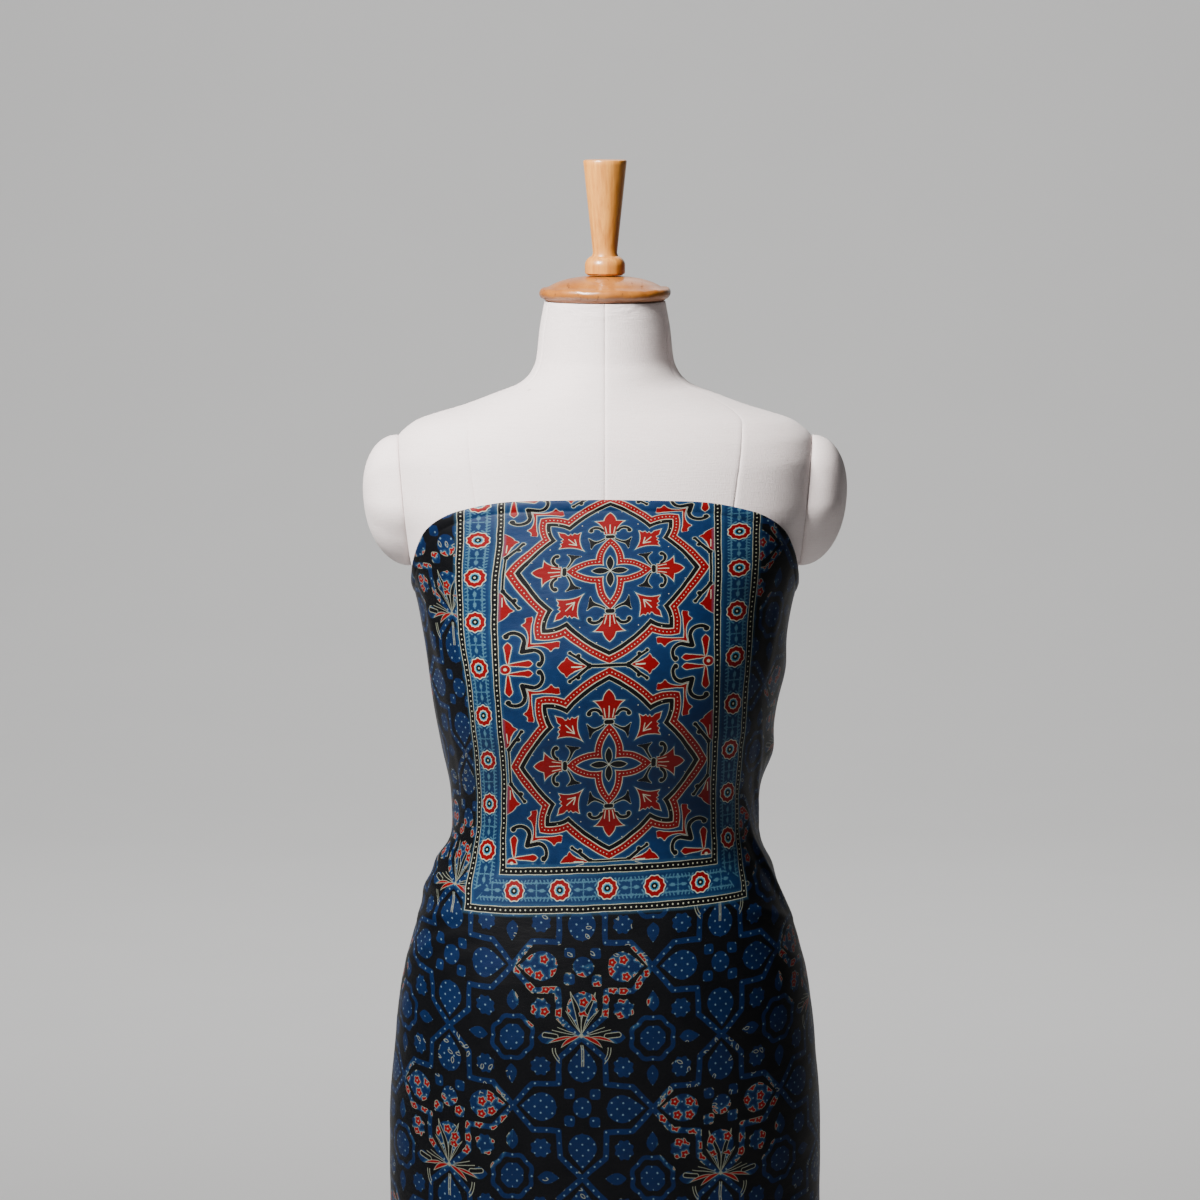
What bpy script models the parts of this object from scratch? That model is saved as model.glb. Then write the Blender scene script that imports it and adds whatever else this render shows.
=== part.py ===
"""A length of ajrakh-printed silk wrapped round a tailor's dress form on a wooden stand.

The form stands on its base at z = 0 with its pole on the Z axis. Its front faces -Y and its
left-hand side, as the viewer sees it, is -X. All sizes are in metres.
"""

import math

import bmesh
import bpy
import numpy as np
from mathutils import Vector

COLLECTION = "ajrakh_silk_on_dress_form"

# Heights above the floor
WAIST_Z = 1.055
FORM_BOTTOM_Z = 0.720
HEM_Z = 0.320
CLOTH_TOP_FRONT_Z = 1.338

# Cloth
CLOTH_WIDTH = 1.060
CLOTH_THICKNESS = 0.0015
CLOTH_CLEARANCE = 0.0042
LAYER_STEP = 0.0060
LAYER_RAMP = 0.042
LAYER_MARGIN = 0.016

# Gaps between pieces that meet
JOINT_GAP = 0.0003

# Form
OUTLINE_STEPS = 40
NECK_TOP_Z = 1.4951
ARM_PLANE_BOTTOM = (0.1620, 1.2713)
ARM_PLANE_TOP = (0.1730, 1.3873)
ARM_CAP_REACH = 0.0345

# Wooden neck cap, handle, pole and base
CAP_RADIUS = 0.0550
CAP_HEIGHT = 0.0212
CAP_RIM_RADIUS = 0.0046
HANDLE_HEIGHT = 0.0961
HANDLE_TOP_RADIUS = 0.0182
HANDLE_WAIST_RADIUS = 0.0099
HANDLE_FOOT_HEIGHT = 0.0165
HANDLE_FOOT_CENTRE = 0.0085
HANDLE_FOOT_ROUND = 0.0084
POLE_RADIUS = 0.0160
FLANGE_RADIUS = 0.0480
FLANGE_HEIGHT = 0.0140
BASE_RADIUS = 0.2000
BASE_HEIGHT = 0.0300
BOSS_RADIUS = 0.0420
BOSS_HEIGHT = 0.0340
TURNED_STEPS = 28

# The form's level sections: height, half width, depth to the front and to the back of the
# pole's axis, and squareness, which is 2 for an ellipse and more for a fuller curve
SECTION_COLUMNS = ("z", "half_width", "front", "back", "squareness")
FORM_SECTIONS = (
    (NECK_TOP_Z, 0.0506, 0.0520, 0.0490, 2.00),
    (1.4723, 0.0546, 0.0560, 0.0520, 2.00),
    (1.4470, 0.0575, 0.0610, 0.0550, 2.00),
    (1.4360, 0.0620, 0.0660, 0.0580, 2.00),
    (1.4267, 0.0714, 0.0700, 0.0620, 2.00),
    (1.4180, 0.0930, 0.0740, 0.0670, 2.00),
    (1.4092, 0.1160, 0.0780, 0.0730, 2.10),
    (1.3946, 0.1596, 0.0860, 0.0820, 2.20),
    (1.3800, 0.1745, 0.0930, 0.0890, 2.30),
    (1.3600, 0.1795, 0.0990, 0.0940, 2.40),
    (1.3300, 0.1790, 0.1060, 0.0980, 2.40),
    (1.3000, 0.1700, 0.1140, 0.1000, 2.40),
    (1.2713, 0.1615, 0.1210, 0.1000, 2.35),
    (1.2443, 0.1530, 0.1270, 0.0990, 2.30),
    (1.1978, 0.1450, 0.1340, 0.0980, 2.30),
    (1.1497, 0.1383, 0.1280, 0.0940, 2.30),
    (1.1235, 0.1333, 0.1200, 0.0910, 2.25),
    (1.0838, 0.1257, 0.1080, 0.0860, 2.20),
    (1.0550, 0.1244, 0.1020, 0.0830, 2.20),
    (1.0350, 0.1275, 0.1020, 0.0850, 2.20),
    (1.0100, 0.1390, 0.1060, 0.0920, 2.20),
    (0.9867, 0.1495, 0.1100, 0.1000, 2.20),
    (0.9571, 0.1590, 0.1150, 0.1110, 2.20),
    (0.9267, 0.1665, 0.1190, 0.1210, 2.20),
    (0.8937, 0.1712, 0.1210, 0.1290, 2.20),
    (0.8617, 0.1740, 0.1210, 0.1320, 2.20),
    (0.8135, 0.1775, 0.1190, 0.1280, 2.20),
    (0.7600, 0.1780, 0.1150, 0.1180, 2.20),
    (FORM_BOTTOM_Z, 0.1760, 0.1120, 0.1120, 2.20),
)

# Below the hips the cloth leaves the form and hangs straight down to its hem
HANG_SECTIONS = (
    (0.8617, 0.1740, 0.1210, 0.1320, 2.20),
    (0.8000, 0.1780, 0.1215, 0.1310, 2.15),
    (0.5500, 0.1770, 0.1240, 0.1300, 2.10),
    (0.2800, 0.1750, 0.1270, 0.1300, 2.05),
)

# How far the cloth's top edge dips below its height at the centre front, by the angle round
# the form from the centre front, in degrees, to the centre back
TOP_EDGE_DIP = (
    (0.0, 0.0000),
    (20.0, 0.0020),
    (38.0, 0.0110),
    (46.0, 0.0185),
    (55.0, 0.0300),
    (63.5, 0.0460),
    (72.0, 0.0620),
    (82.0, 0.0750),
    (95.0, 0.0810),
    (120.0, 0.0800),
    (150.0, 0.0750),
    (180.0, 0.0720),
)

# Drag folds at the flanks: the angle round the form, the height, how far the cloth stands
# out, the fold's half height and half spread, and how fast it slants round the form
FLANK_FOLDS = (
    {"angle": -88, "z": 1.0270, "out": 0.0070, "tall": 0.011, "wide": 17, "slant": 0.00050},
    {"angle": -94, "z": 1.0020, "out": 0.0055, "tall": 0.012, "wide": 22, "slant": 0.00060},
    {"angle": 90, "z": 1.1870, "out": 0.0040, "tall": 0.021, "wide": 14, "slant": -0.00040},
    {"angle": 88, "z": 1.1180, "out": 0.0050, "tall": 0.017, "wide": 13, "slant": -0.00030},
    {"angle": 92, "z": 1.0240, "out": 0.0040, "tall": 0.012, "wide": 20, "slant": -0.00050},
)

# Where the spare width is drawn in behind the waist
GATHER_HEIGHT = 0.0095
GATHER_ANGLE_FROM = 112.0
GATHER_COUNT = 5
GATHER_REACH_UP = 0.125
GATHER_REACH_DOWN = 0.130

# Soft flutes that open below the hips: how many round the cloth, how deep at the hem, phase
FLUTES = (
    (6, 0.0050, 0.4),
    (9, 0.0035, 2.1),
)
FLUTES_START_Z = 0.800

# The cloth's own mesh: columns by distance from the centre front, then rows by height
COLUMN_RUNS = ((0.000, 0.180, 9), (0.180, 0.530, 35))
ROW_RUNS = ((0.000, 0.360, 17), (0.360, 0.560, 6), (0.560, 1.000, 4))

# How far round each half of the cloth is walked, in radians, and in how many steps
WALK_TO = 1.45 * math.pi
WALK_STEPS = 2900

PAINTS = {
    "form_linen": ((0.80, 0.74, 0.72, 1.0), 0.85),
    "turned_wood": ((0.50, 0.22, 0.07, 1.0), 0.35),
    "ajrakh_silk": ((0.03, 0.07, 0.20, 1.0), 0.50),
}


def clear_scene():
    """Removes what the scene already holds and returns a collection for the part."""
    for thing in list(bpy.data.objects):
        bpy.data.objects.remove(thing)
    folder = bpy.data.collections.new(COLLECTION)
    bpy.context.scene.collection.children.link(folder)
    return folder


def paint(name):
    """The Principled material of that name, made when it is first asked for."""
    found = bpy.data.materials.get(name)
    if found:
        return found
    colour, roughness = PAINTS[name]
    made = bpy.data.materials.new(name)
    made.use_nodes = True
    shader = made.node_tree.nodes["Principled BSDF"]
    shader.inputs["Base Color"].default_value = colour
    shader.inputs["Roughness"].default_value = roughness
    shader.inputs["Metallic"].default_value = 0.0
    made.diffuse_color = colour
    return made


def place(folder, name, mesh, material):
    """Adds a mesh to the collection as one named sub-part."""
    thing = bpy.data.objects.new(name, mesh)
    folder.objects.link(thing)
    mesh.materials.append(paint(material))
    return thing


def smooth_curve(knots, values, at):
    """A curve through the knots with no overshoot, read at the points asked for."""
    knots, values = np.asarray(knots, float), np.asarray(values, float)
    spans = np.diff(knots)
    slopes = np.diff(values) / spans
    tangents = np.zeros(len(knots))
    for i in range(1, len(knots) - 1):
        if slopes[i - 1] * slopes[i] > 0:
            tangents[i] = 2 * slopes[i - 1] * slopes[i] / (slopes[i - 1] + slopes[i])
    tangents[0], tangents[-1] = slopes[0], slopes[-1]
    at = np.clip(np.asarray(at, float), knots[0], knots[-1])
    i = np.clip(np.searchsorted(knots, at) - 1, 0, len(spans) - 1)
    t = (at - knots[i]) / spans[i]
    low, high = values[i], values[i + 1]
    return (
        (1 + 2 * t) * (1 - t) ** 2 * low
        + t * (1 - t) ** 2 * spans[i] * tangents[i]
        + t * t * (3 - 2 * t) * high
        + t * t * (t - 1) * spans[i] * tangents[i + 1]
    )


def read_sections(table, z):
    """Half width, front, back and squareness of a table of sections at the heights z."""
    rows = np.array(table)[::-1]
    return [smooth_curve(rows[:, 0], rows[:, k], z) for k in range(1, len(SECTION_COLUMNS))]


def outline(table, z, angle):
    """The points (x, y) of the level section at height z, at angles from the centre front."""
    half_width, front, back, squareness = read_sections(table, z)
    side, ahead = np.sin(angle), np.cos(angle)
    power = 2 / squareness
    depth = np.where(ahead > 0, front, back)
    x = half_width * np.sign(side) * np.abs(side) ** power
    y = -depth * np.sign(ahead) * np.abs(ahead) ** power
    return x, y


def arm_plane_x(z):
    """How far from the centre the armhole's plane lies at height z."""
    (low_x, low_z), (high_x, high_z) = ARM_PLANE_BOTTOM, ARM_PLANE_TOP
    return low_x + (high_x - low_x) * (z - low_z) / (high_z - low_z)


def even_angles(table, z, count):
    """Angles that share the section at height z into equal lengths, from the centre front."""
    fine = np.linspace(0, 2 * math.pi, 1441)
    x, y = outline(table, z, fine)
    run = np.concatenate([[0], np.cumsum(np.hypot(np.diff(x), np.diff(y)))])
    return np.interp(np.arange(count) * run[-1] / count, run, fine)


def skin(rings, close_ends=True):
    """A bmesh that joins rings of points, each ring closed on itself, top ring first."""
    bm = bmesh.new()
    loops = []
    for ring in rings:
        verts = [bm.verts.new(p) for p in ring]
        loops.append([bm.edges.new((verts[i - 1], verts[i])) for i in range(len(verts))])
    for upper, lower in zip(loops, loops[1:]):
        bmesh.ops.bridge_loops(bm, edges=upper + lower)
    if close_ends:
        bmesh.ops.holes_fill(bm, edges=loops[0] + loops[-1], sides=0)
    bmesh.ops.recalc_face_normals(bm, faces=bm.faces)
    return bm


def finish_mesh(bm, name, smooth=True):
    """Turns a bmesh into a mesh that is shaded smooth between its sharp edges."""
    mesh = bpy.data.meshes.new(name)
    bm.to_mesh(mesh)
    bm.free()
    if smooth:
        mesh.shade_smooth()
        mesh.set_sharp_from_angle(angle=math.radians(40))
    return mesh


def torso_heights():
    """The heights of the torso's rings: every row of the table, and one between long rows."""
    heights = []
    for upper, lower in zip(FORM_SECTIONS, FORM_SECTIONS[1:]):
        parts = 2 if upper[0] - lower[0] > 0.024 else 1
        heights += [upper[0] + (lower[0] - upper[0]) * k / parts for k in range(parts)]
    return heights + [FORM_BOTTOM_Z]


def make_torso(folder):
    """The covered body of the form, from the top of its neck to its flat lower end."""
    rings = []
    for z in torso_heights():
        angles = even_angles(FORM_SECTIONS, z, OUTLINE_STEPS)
        x, y = outline(FORM_SECTIONS, np.full_like(angles, z), angles)
        rings.append([(px, py, z) for px, py in zip(x, y)])
    bm = skin(rings)
    low_x, low_z = ARM_PLANE_BOTTOM
    high_x, high_z = ARM_PLANE_TOP
    for side in (-1, 1):
        outward = Vector((side * (high_z - low_z), 0, -(high_x - low_x))).normalized()
        cut = bmesh.ops.bisect_plane(
            bm,
            geom=bm.verts[:] + bm.edges[:] + bm.faces[:],
            plane_co=(side * low_x, 0, low_z),
            plane_no=outward,
            clear_outer=True,
        )
        rim = [e for e in cut["geom_cut"] if isinstance(e, bmesh.types.BMEdge)]
        bmesh.ops.holes_fill(bm, edges=rim, sides=0)
    bmesh.ops.remove_doubles(bm, verts=bm.verts, dist=0.0001)
    bmesh.ops.triangulate(bm, faces=[f for f in bm.faces if len(f.verts) > 4])
    return place(folder, "form_torso", finish_mesh(bm, "form_torso"), "form_linen")


def armhole_outline(steps):
    """Points (y, z) of the armhole: where the torso's surface meets the armhole's plane."""
    reach_up = 0.004
    heights = np.linspace(ARM_PLANE_BOTTOM[1], ARM_PLANE_TOP[1] + reach_up, 400)
    half_width, front, back, squareness = read_sections(FORM_SECTIONS, heights)
    share = arm_plane_x(heights) / half_width
    inside = share < 1
    heights, share = heights[inside], share[inside]
    reach = (1 - share ** squareness[inside]) ** (1 / squareness[inside])
    ys = np.concatenate([-front[inside] * reach, (back[inside] * reach)[::-1]])
    zs = np.concatenate([heights, heights[::-1]])
    ys, zs = np.append(ys, ys[0]), np.append(zs, zs[0])
    run = np.concatenate([[0], np.cumsum(np.hypot(np.diff(ys), np.diff(zs)))])
    at = np.arange(steps) * run[-1] / steps
    return np.interp(at, run, ys), np.interp(at, run, zs)


def make_arm_cap(folder, name, side):
    """The rounded stub that closes an armhole; side is -1 or 1."""
    ys, zs = armhole_outline(32)
    mid_y, mid_z = (ys.min() + ys.max()) / 2, (zs.min() + zs.max()) / 2
    rings = []
    for turn in np.radians([0, 12, 25, 38, 50, 61, 71, 80]):
        shrink, reach = math.cos(turn) ** 0.9, JOINT_GAP + ARM_CAP_REACH * math.sin(turn)
        ring = []
        for y, z in zip(ys, zs):
            ring_z = mid_z + (z - mid_z) * shrink
            ring_y = mid_y + (y - mid_y) * shrink
            ring.append((side * (arm_plane_x(ring_z) + reach), ring_y, ring_z))
        rings.append(ring)
    bm = skin(rings, close_ends=False)
    ends = [e for e in bm.edges if e.is_boundary]
    bmesh.ops.holes_fill(bm, edges=ends, sides=0)
    bmesh.ops.recalc_face_normals(bm, faces=bm.faces)
    return place(folder, name, finish_mesh(bm, name), "form_linen")


def make_turned(folder, name, profile, material):
    """A piece turned about the Z axis; profile is (radius, z) from its top to its bottom."""
    mesh = bpy.data.meshes.new(name)
    bm = bmesh.new()
    verts = [bm.verts.new((radius, 0, z)) for radius, z in profile]
    for a, b in zip(verts, verts[1:]):
        bm.edges.new((a, b))
    bm.to_mesh(mesh)
    bm.free()
    thing = place(folder, name, mesh, material)
    screw = thing.modifiers.new("turned", "SCREW")
    screw.axis = "Z"
    screw.steps = screw.render_steps = TURNED_STEPS
    screw.use_merge_vertices = True
    screw.merge_threshold = 0.00005
    screw.use_smooth_shade = True
    return thing


def arc(centre_radius, centre_z, radius, start, end, steps):
    """Points (radius, z) along an arc of a turned profile; angles in degrees from outward."""
    return [
        (
            centre_radius + radius * math.cos(math.radians(a)),
            centre_z + radius * math.sin(math.radians(a)),
        )
        for a in np.linspace(start, end, steps)
    ]


def make_neck_cap(folder):
    """The domed wooden disc on top of the neck, with a rounded rim that stands proud of it."""
    bottom = NECK_TOP_Z + JOINT_GAP
    top = bottom + CAP_HEIGHT
    rim_z = bottom + CAP_RIM_RADIUS + 0.0016
    foot_radius = CAP_RADIUS - 0.0060
    dome = [
        (0.0, top),
        (0.012, top - 0.0003),
        (0.025, top - 0.0017),
        (0.036, top - 0.0042),
        (0.0445, top - 0.0077),
    ]
    rim = arc(CAP_RADIUS - CAP_RIM_RADIUS, rim_z, CAP_RIM_RADIUS, 62, -70, 9)
    profile = dome + rim + [(foot_radius, bottom), (0.0, bottom)]
    return make_turned(folder, "neck_cap", profile, "turned_wood")


def make_handle(folder):
    """The turned handle: a round foot, a narrow waist and a taper that widens to the top."""
    bottom = NECK_TOP_Z + JOINT_GAP + CAP_HEIGHT + JOINT_GAP
    top = bottom + HANDLE_HEIGHT
    edge = 0.0012
    foot_top = bottom + HANDLE_FOOT_HEIGHT
    taper_rise = top - edge - foot_top
    taper_spread = HANDLE_TOP_RADIUS - HANDLE_WAIST_RADIUS
    taper = [
        (HANDLE_WAIST_RADIUS + taper_spread * share, foot_top + taper_rise * share)
        for share in (1.0, 0.66, 0.33, 0.0)
    ]
    foot_z = bottom + HANDLE_FOOT_ROUND - edge
    foot = arc(HANDLE_FOOT_CENTRE, foot_z, HANDLE_FOOT_ROUND, 75, -58, 9)
    under_radius = foot[-1][0] - edge / 2
    profile = [(0.0, top), (HANDLE_TOP_RADIUS - edge, top)] + taper + foot
    profile += [(under_radius, bottom), (0.0, bottom)]
    return make_turned(folder, "neck_handle", profile, "turned_wood")


def make_stand(folder):
    """The stand below the form: a flange under the torso, a pole, and a round base."""
    flange_top = FORM_BOTTOM_Z - JOINT_GAP
    flange_bottom = flange_top - FLANGE_HEIGHT
    edge = 0.0040
    flange = [(0.0, flange_top), (FLANGE_RADIUS, flange_top)]
    flange += arc(FLANGE_RADIUS - edge, flange_bottom + edge, edge, 0, -90, 5)
    flange += [(0.0, flange_bottom)]
    make_turned(folder, "stand_flange", flange, "turned_wood")

    pole_top = flange_bottom - JOINT_GAP
    pole_bottom = BASE_HEIGHT + BOSS_HEIGHT + JOINT_GAP
    pole = [(0.0, pole_top), (POLE_RADIUS, pole_top)]
    pole += [(POLE_RADIUS, pole_bottom), (0.0, pole_bottom)]
    make_turned(folder, "stand_pole", pole, "turned_wood")

    boss_top = BASE_HEIGHT + BOSS_HEIGHT
    boss_round = 0.0120
    cove = 0.0280
    rim = 0.0110
    fall = 0.0020
    chamfer = 0.0040
    base = [(0.0, boss_top), (BOSS_RADIUS - boss_round, boss_top)]
    base += arc(BOSS_RADIUS - boss_round, boss_top - boss_round, boss_round, 80, 0, 5)
    base += [
        (BOSS_RADIUS + cove * (1 - math.cos(turn)), BASE_HEIGHT + cove / 2 * (1 - math.sin(turn)))
        for turn in np.radians([0, 30, 60, 90])
    ]
    base += arc(BASE_RADIUS - rim, BASE_HEIGHT - rim - fall, rim, 85, 0, 6)
    base += [(BASE_RADIUS, chamfer), (BASE_RADIUS - chamfer, 0.0), (0.0, 0.0)]
    make_turned(folder, "stand_base", base, "turned_wood")


def fade(value, start, end):
    """0 before start and 1 after end, with a smooth passage between them."""
    t = np.clip((value - start) / (end - start), 0, 1)
    return t * t * (3 - 2 * t)


def cloth_heights(angle, share):
    """Height of the cloth's rows: share is 0 along the dipped top edge and 1 at the hem."""
    degrees, dips = np.array(TOP_EDGE_DIP).T
    turned = np.abs((np.degrees(angle) + 180) % 360 - 180)
    top = CLOTH_TOP_FRONT_Z - smooth_curve(degrees, dips, turned)
    return top + (HEM_Z - top) * share


def fold_depth(angle, z):
    """How far the folds stand out from the smooth wrap, at an angle round the form."""
    degrees = (np.degrees(angle) + 180) % 360 - 180
    out = np.zeros_like(z)
    for fold in FLANK_FOLDS:
        around = (degrees - fold["angle"]) / fold["wide"]
        crest = fold["z"] + fold["slant"] * (degrees - fold["angle"])
        out = out + fold["out"] * np.exp(-around**2 - ((z - crest) / fold["tall"]) ** 2)
    drawn = fade(z, WAIST_Z + GATHER_REACH_UP, WAIST_Z + 0.01) * fade(
        z, WAIST_Z - GATHER_REACH_DOWN, WAIST_Z - 0.01
    )
    behind = (np.abs(degrees) - GATHER_ANGLE_FROM) / (180 - GATHER_ANGLE_FROM)
    wave = 0.5 - 0.5 * np.cos(math.pi * GATHER_COUNT * np.clip(behind, 0, 1))
    out = out + GATHER_HEIGHT * drawn * wave * fade(behind, 0, 0.12)
    for count, depth, phase in FLUTES:
        out = out + depth * np.sin(count * angle + phase) * fade(z, FLUTES_START_Z, HEM_Z)
    return out


def cloth_point(angle, share, lifted):
    """Points on the middle of the cloth; lifted is 1 where it lies over its own other end."""
    z = cloth_heights(angle, share)
    on_form = fade(z, HANG_SECTIONS[1][0], HANG_SECTIONS[0][0])
    nearby = 0.001
    points = []
    for a in (angle - nearby, angle, angle + nearby):
        form_x, form_y = outline(FORM_SECTIONS, z, a)
        hang_x, hang_y = outline(HANG_SECTIONS, z, a)
        points.append((
            hang_x + (form_x - hang_x) * on_form,
            hang_y + (form_y - hang_y) * on_form,
        ))
    (back_x, back_y), (x, y), (next_x, next_y) = points
    run = np.hypot(next_x - back_x, next_y - back_y)
    out_x, out_y = (next_y - back_y) / run, -(next_x - back_x) / run
    off = CLOTH_CLEARANCE + fold_depth(angle, z) + LAYER_STEP * lifted
    return np.stack([x + out_x * off, y + out_y * off, z], axis=-1)


def cloth_row(share, columns):
    """One row of the cloth: its points at the given distances from the centre front.

    Each row is walked from the centre front to both sides, so the cloth keeps its width,
    and its right end comes to lie over its left end behind the form.
    """
    fine = np.linspace(-WALK_TO, WALK_TO, 2 * WALK_STEPS + 1)
    centre = WALK_STEPS
    flat = cloth_point(fine, share, 0.0)
    run = np.concatenate([[0], np.cumsum(np.hypot(*np.diff(flat[:, :2], axis=0).T))])
    run -= run[centre]
    left_end = np.interp(columns[0], run, fine)
    meets = left_end + 2 * math.pi
    round_there = 0.5 * (run[-1] - run[0]) / fine[-1]
    lifted_from = meets - LAYER_MARGIN / round_there
    lifted = fade(fine, lifted_from - LAYER_RAMP / round_there, lifted_from)
    laid = cloth_point(fine, share, lifted)
    run = np.concatenate([[0], np.cumsum(np.hypot(*np.diff(laid[:, :2], axis=0).T))])
    run -= run[centre]
    return [Vector([np.interp(u, run, laid[:, k]) for k in range(3)]) for u in columns]


def make_cloth(folder):
    """The printed silk: one sheet, wrapped round the form and overlapped behind it."""
    right = [
        start + (end - start) * k / count
        for start, end, count in COLUMN_RUNS
        for k in range(count)
    ] + [CLOTH_WIDTH / 2]
    columns = [-u for u in reversed(right[1:])] + right
    shares = [
        start + (end - start) * k / count for start, end, count in ROW_RUNS for k in range(count)
    ] + [1.0]
    rows = [cloth_row(share, columns) for share in shares]
    bm = bmesh.new()
    grid = bmesh.ops.create_grid(
        bm, x_segments=len(columns) - 1, y_segments=len(rows) - 1, size=0.5
    )["verts"]
    for vert in grid:
        column = round((vert.co.x + 0.5) * (len(columns) - 1))
        row = round((0.5 - vert.co.y) * (len(rows) - 1))
        vert.co = rows[row][column]
    thing = place(folder, "ajrakh_cloth", finish_mesh(bm, "ajrakh_cloth"), "ajrakh_silk")
    thickness = thing.modifiers.new("thickness", "SOLIDIFY")
    thickness.thickness = CLOTH_THICKNESS
    thickness.offset = 0.0
    return thing


def main():
    """Builds the form, its stand and the cloth."""
    folder = clear_scene()
    make_torso(folder)
    make_arm_cap(folder, "arm_cap_left", -1)
    make_arm_cap(folder, "arm_cap_right", 1)
    make_neck_cap(folder)
    make_handle(folder)
    make_stand(folder)
    make_cloth(folder)


main()
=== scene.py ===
"""The finished look of a length of ajrakh-printed silk wrapped round a dress form on its stand."""

import functools
import math

import bmesh
import bpy
import numpy as np
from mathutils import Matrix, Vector


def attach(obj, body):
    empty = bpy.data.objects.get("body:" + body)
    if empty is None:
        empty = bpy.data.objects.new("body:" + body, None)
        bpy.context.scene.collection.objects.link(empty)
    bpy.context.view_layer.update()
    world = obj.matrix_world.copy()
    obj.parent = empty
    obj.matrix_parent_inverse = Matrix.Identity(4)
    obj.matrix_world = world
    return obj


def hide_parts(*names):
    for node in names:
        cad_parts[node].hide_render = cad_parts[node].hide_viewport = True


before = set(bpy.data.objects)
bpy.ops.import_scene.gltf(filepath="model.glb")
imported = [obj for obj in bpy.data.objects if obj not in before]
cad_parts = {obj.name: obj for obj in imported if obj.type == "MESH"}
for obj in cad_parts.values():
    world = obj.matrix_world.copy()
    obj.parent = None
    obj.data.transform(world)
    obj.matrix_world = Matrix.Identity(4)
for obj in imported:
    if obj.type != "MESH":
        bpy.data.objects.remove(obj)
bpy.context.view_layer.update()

# Studio: a pale floor that turns up into a wall far behind, a key light near the upper left, a
# weak fill in front, a soft light behind and one for the wall. The camera stands 4.6 m off, a
# little above the chest and tipped 6 degrees down.
camera = bpy.data.objects.new("camera", bpy.data.cameras.new("camera"))
camera.data.lens = 164.3
camera.data.sensor_width = 36
camera.data.clip_end = 100
camera.location = (-0.0042, -4.575, 1.7251)
camera.rotation_euler = (math.radians(84), 0, 0)
bpy.context.scene.collection.objects.link(camera)
bpy.context.scene.camera = camera


def add_light(name, place, aim, size, power, colour):
    """An area light at a place, turned towards its aim."""
    lamp = bpy.data.lights.new(name, "AREA")
    lamp.size = size
    lamp.energy = power
    lamp.color = colour
    holder = bpy.data.objects.new(name, lamp)
    holder.location = place
    holder.rotation_euler = (Vector(aim) - Vector(place)).to_track_quat("-Z", "Y").to_euler()
    bpy.context.scene.collection.objects.link(holder)


add_light("key", (-0.74, -0.80, 2.38), (0, -0.05, 1.25), 0.5, 98, (1.0, 0.972, 0.95))
add_light("fill", (0.6, -3.4, 1.9), (0, 0, 1.3), 1.8, 3, (0.97, 0.98, 1.0))
add_light("behind", (0.6, 2.1, 2.9), (0, 0, 1.0), 1.6, 8, (1.0, 0.98, 0.96))
add_light("wall", (0.0, 4.5, 5.2), (0, 9.5, 1.5), 5.0, 380, (1.0, 0.99, 0.97))
world = bpy.data.worlds.new("studio")
world.use_nodes = True
world.node_tree.nodes["Background"].inputs["Color"].default_value = (0.88, 0.89, 0.91, 1)
world.node_tree.nodes["Background"].inputs["Strength"].default_value = 0.035
bpy.context.scene.world = world


class Wire:
    """A node's output socket. Sums and products of wires add the Math nodes for them."""

    def __init__(self, socket):
        self.socket = socket

    def node(self, kind, inputs=None, out=0, **settings):
        """Adds a node: its settings first, then its inputs by name or number."""
        made = self.socket.id_data.nodes.new(kind)
        for name, value in settings.items():
            if name == "stops":
                ramp = made.color_ramp.elements
                while len(ramp) < len(value):
                    ramp.new(0.5)
                for stop, (at, colour) in zip(ramp, value):
                    stop.position = at
                    stop.color = (*colour, 1)
            elif name == "curves":
                made.mapping.use_clip = False
                for curve, knots in zip(made.mapping.curves, value):
                    while len(curve.points) < len(knots):
                        curve.points.new(0.5, 0.5)
                    for point, place in zip(curve.points, knots):
                        point.location = place
                made.mapping.update()
            else:
                setattr(made, name, value)
        for key, value in (inputs or {}).items():
            join(value, made.inputs[key])
        return Wire(made.outputs[out])

    def math(self, operation, *others, clamp=False):
        inputs = dict(enumerate((self, *others)))
        return self.node("ShaderNodeMath", inputs, operation=operation, use_clamp=clamp)

    def line(self, gain, offset, clamp=False):
        return self.math("MULTIPLY_ADD", gain, offset, clamp=clamp)

    def vector(self, operation, *others, out=0):
        inputs = dict(enumerate((self, *others)))
        return self.node("ShaderNodeVectorMath", inputs, out, operation=operation)

    def __add__(self, other):
        return self.math("ADD", other)

    def __sub__(self, other):
        return self.math("SUBTRACT", other)

    def __rsub__(self, other):
        return self.line(-1.0, other)

    def __mul__(self, other):
        return self.math("MULTIPLY", other)

    def __abs__(self):
        return self.math("ABSOLUTE")


def join(value, socket):
    """Links a wire to a socket, or sets the socket's value."""
    if isinstance(value, Wire):
        socket.id_data.links.new(value.socket, socket)
    elif hasattr(value, "__len__") and hasattr(socket.default_value, "__len__"):
        size = len(socket.default_value)
        socket.default_value = (*value, 1)[:size]
    else:
        socket.default_value = value


def dress(shader, **values):
    """Joins wires to a shader's sockets, or sets them."""
    for key, value in values.items():
        join(value, shader.inputs[key.replace("_", " ")])


def bumped(height, strength, distance):
    """The normal of a surface raised by a height."""
    inputs = {"Strength": strength, "Distance": distance, "Height": height}
    return height.node("ShaderNodeBump", inputs)


def start_finish(name, **constants):
    """A material with its shader's constant sockets set; returns it, its shader and a wire."""
    material = bpy.data.materials.new(name)
    material.use_nodes = True
    shader = material.node_tree.nodes["Principled BSDF"]
    dress(shader, **constants)
    coordinates = material.node_tree.nodes.new("ShaderNodeTexCoord")
    return material, shader, Wire(coordinates.outputs["Object"])


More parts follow.
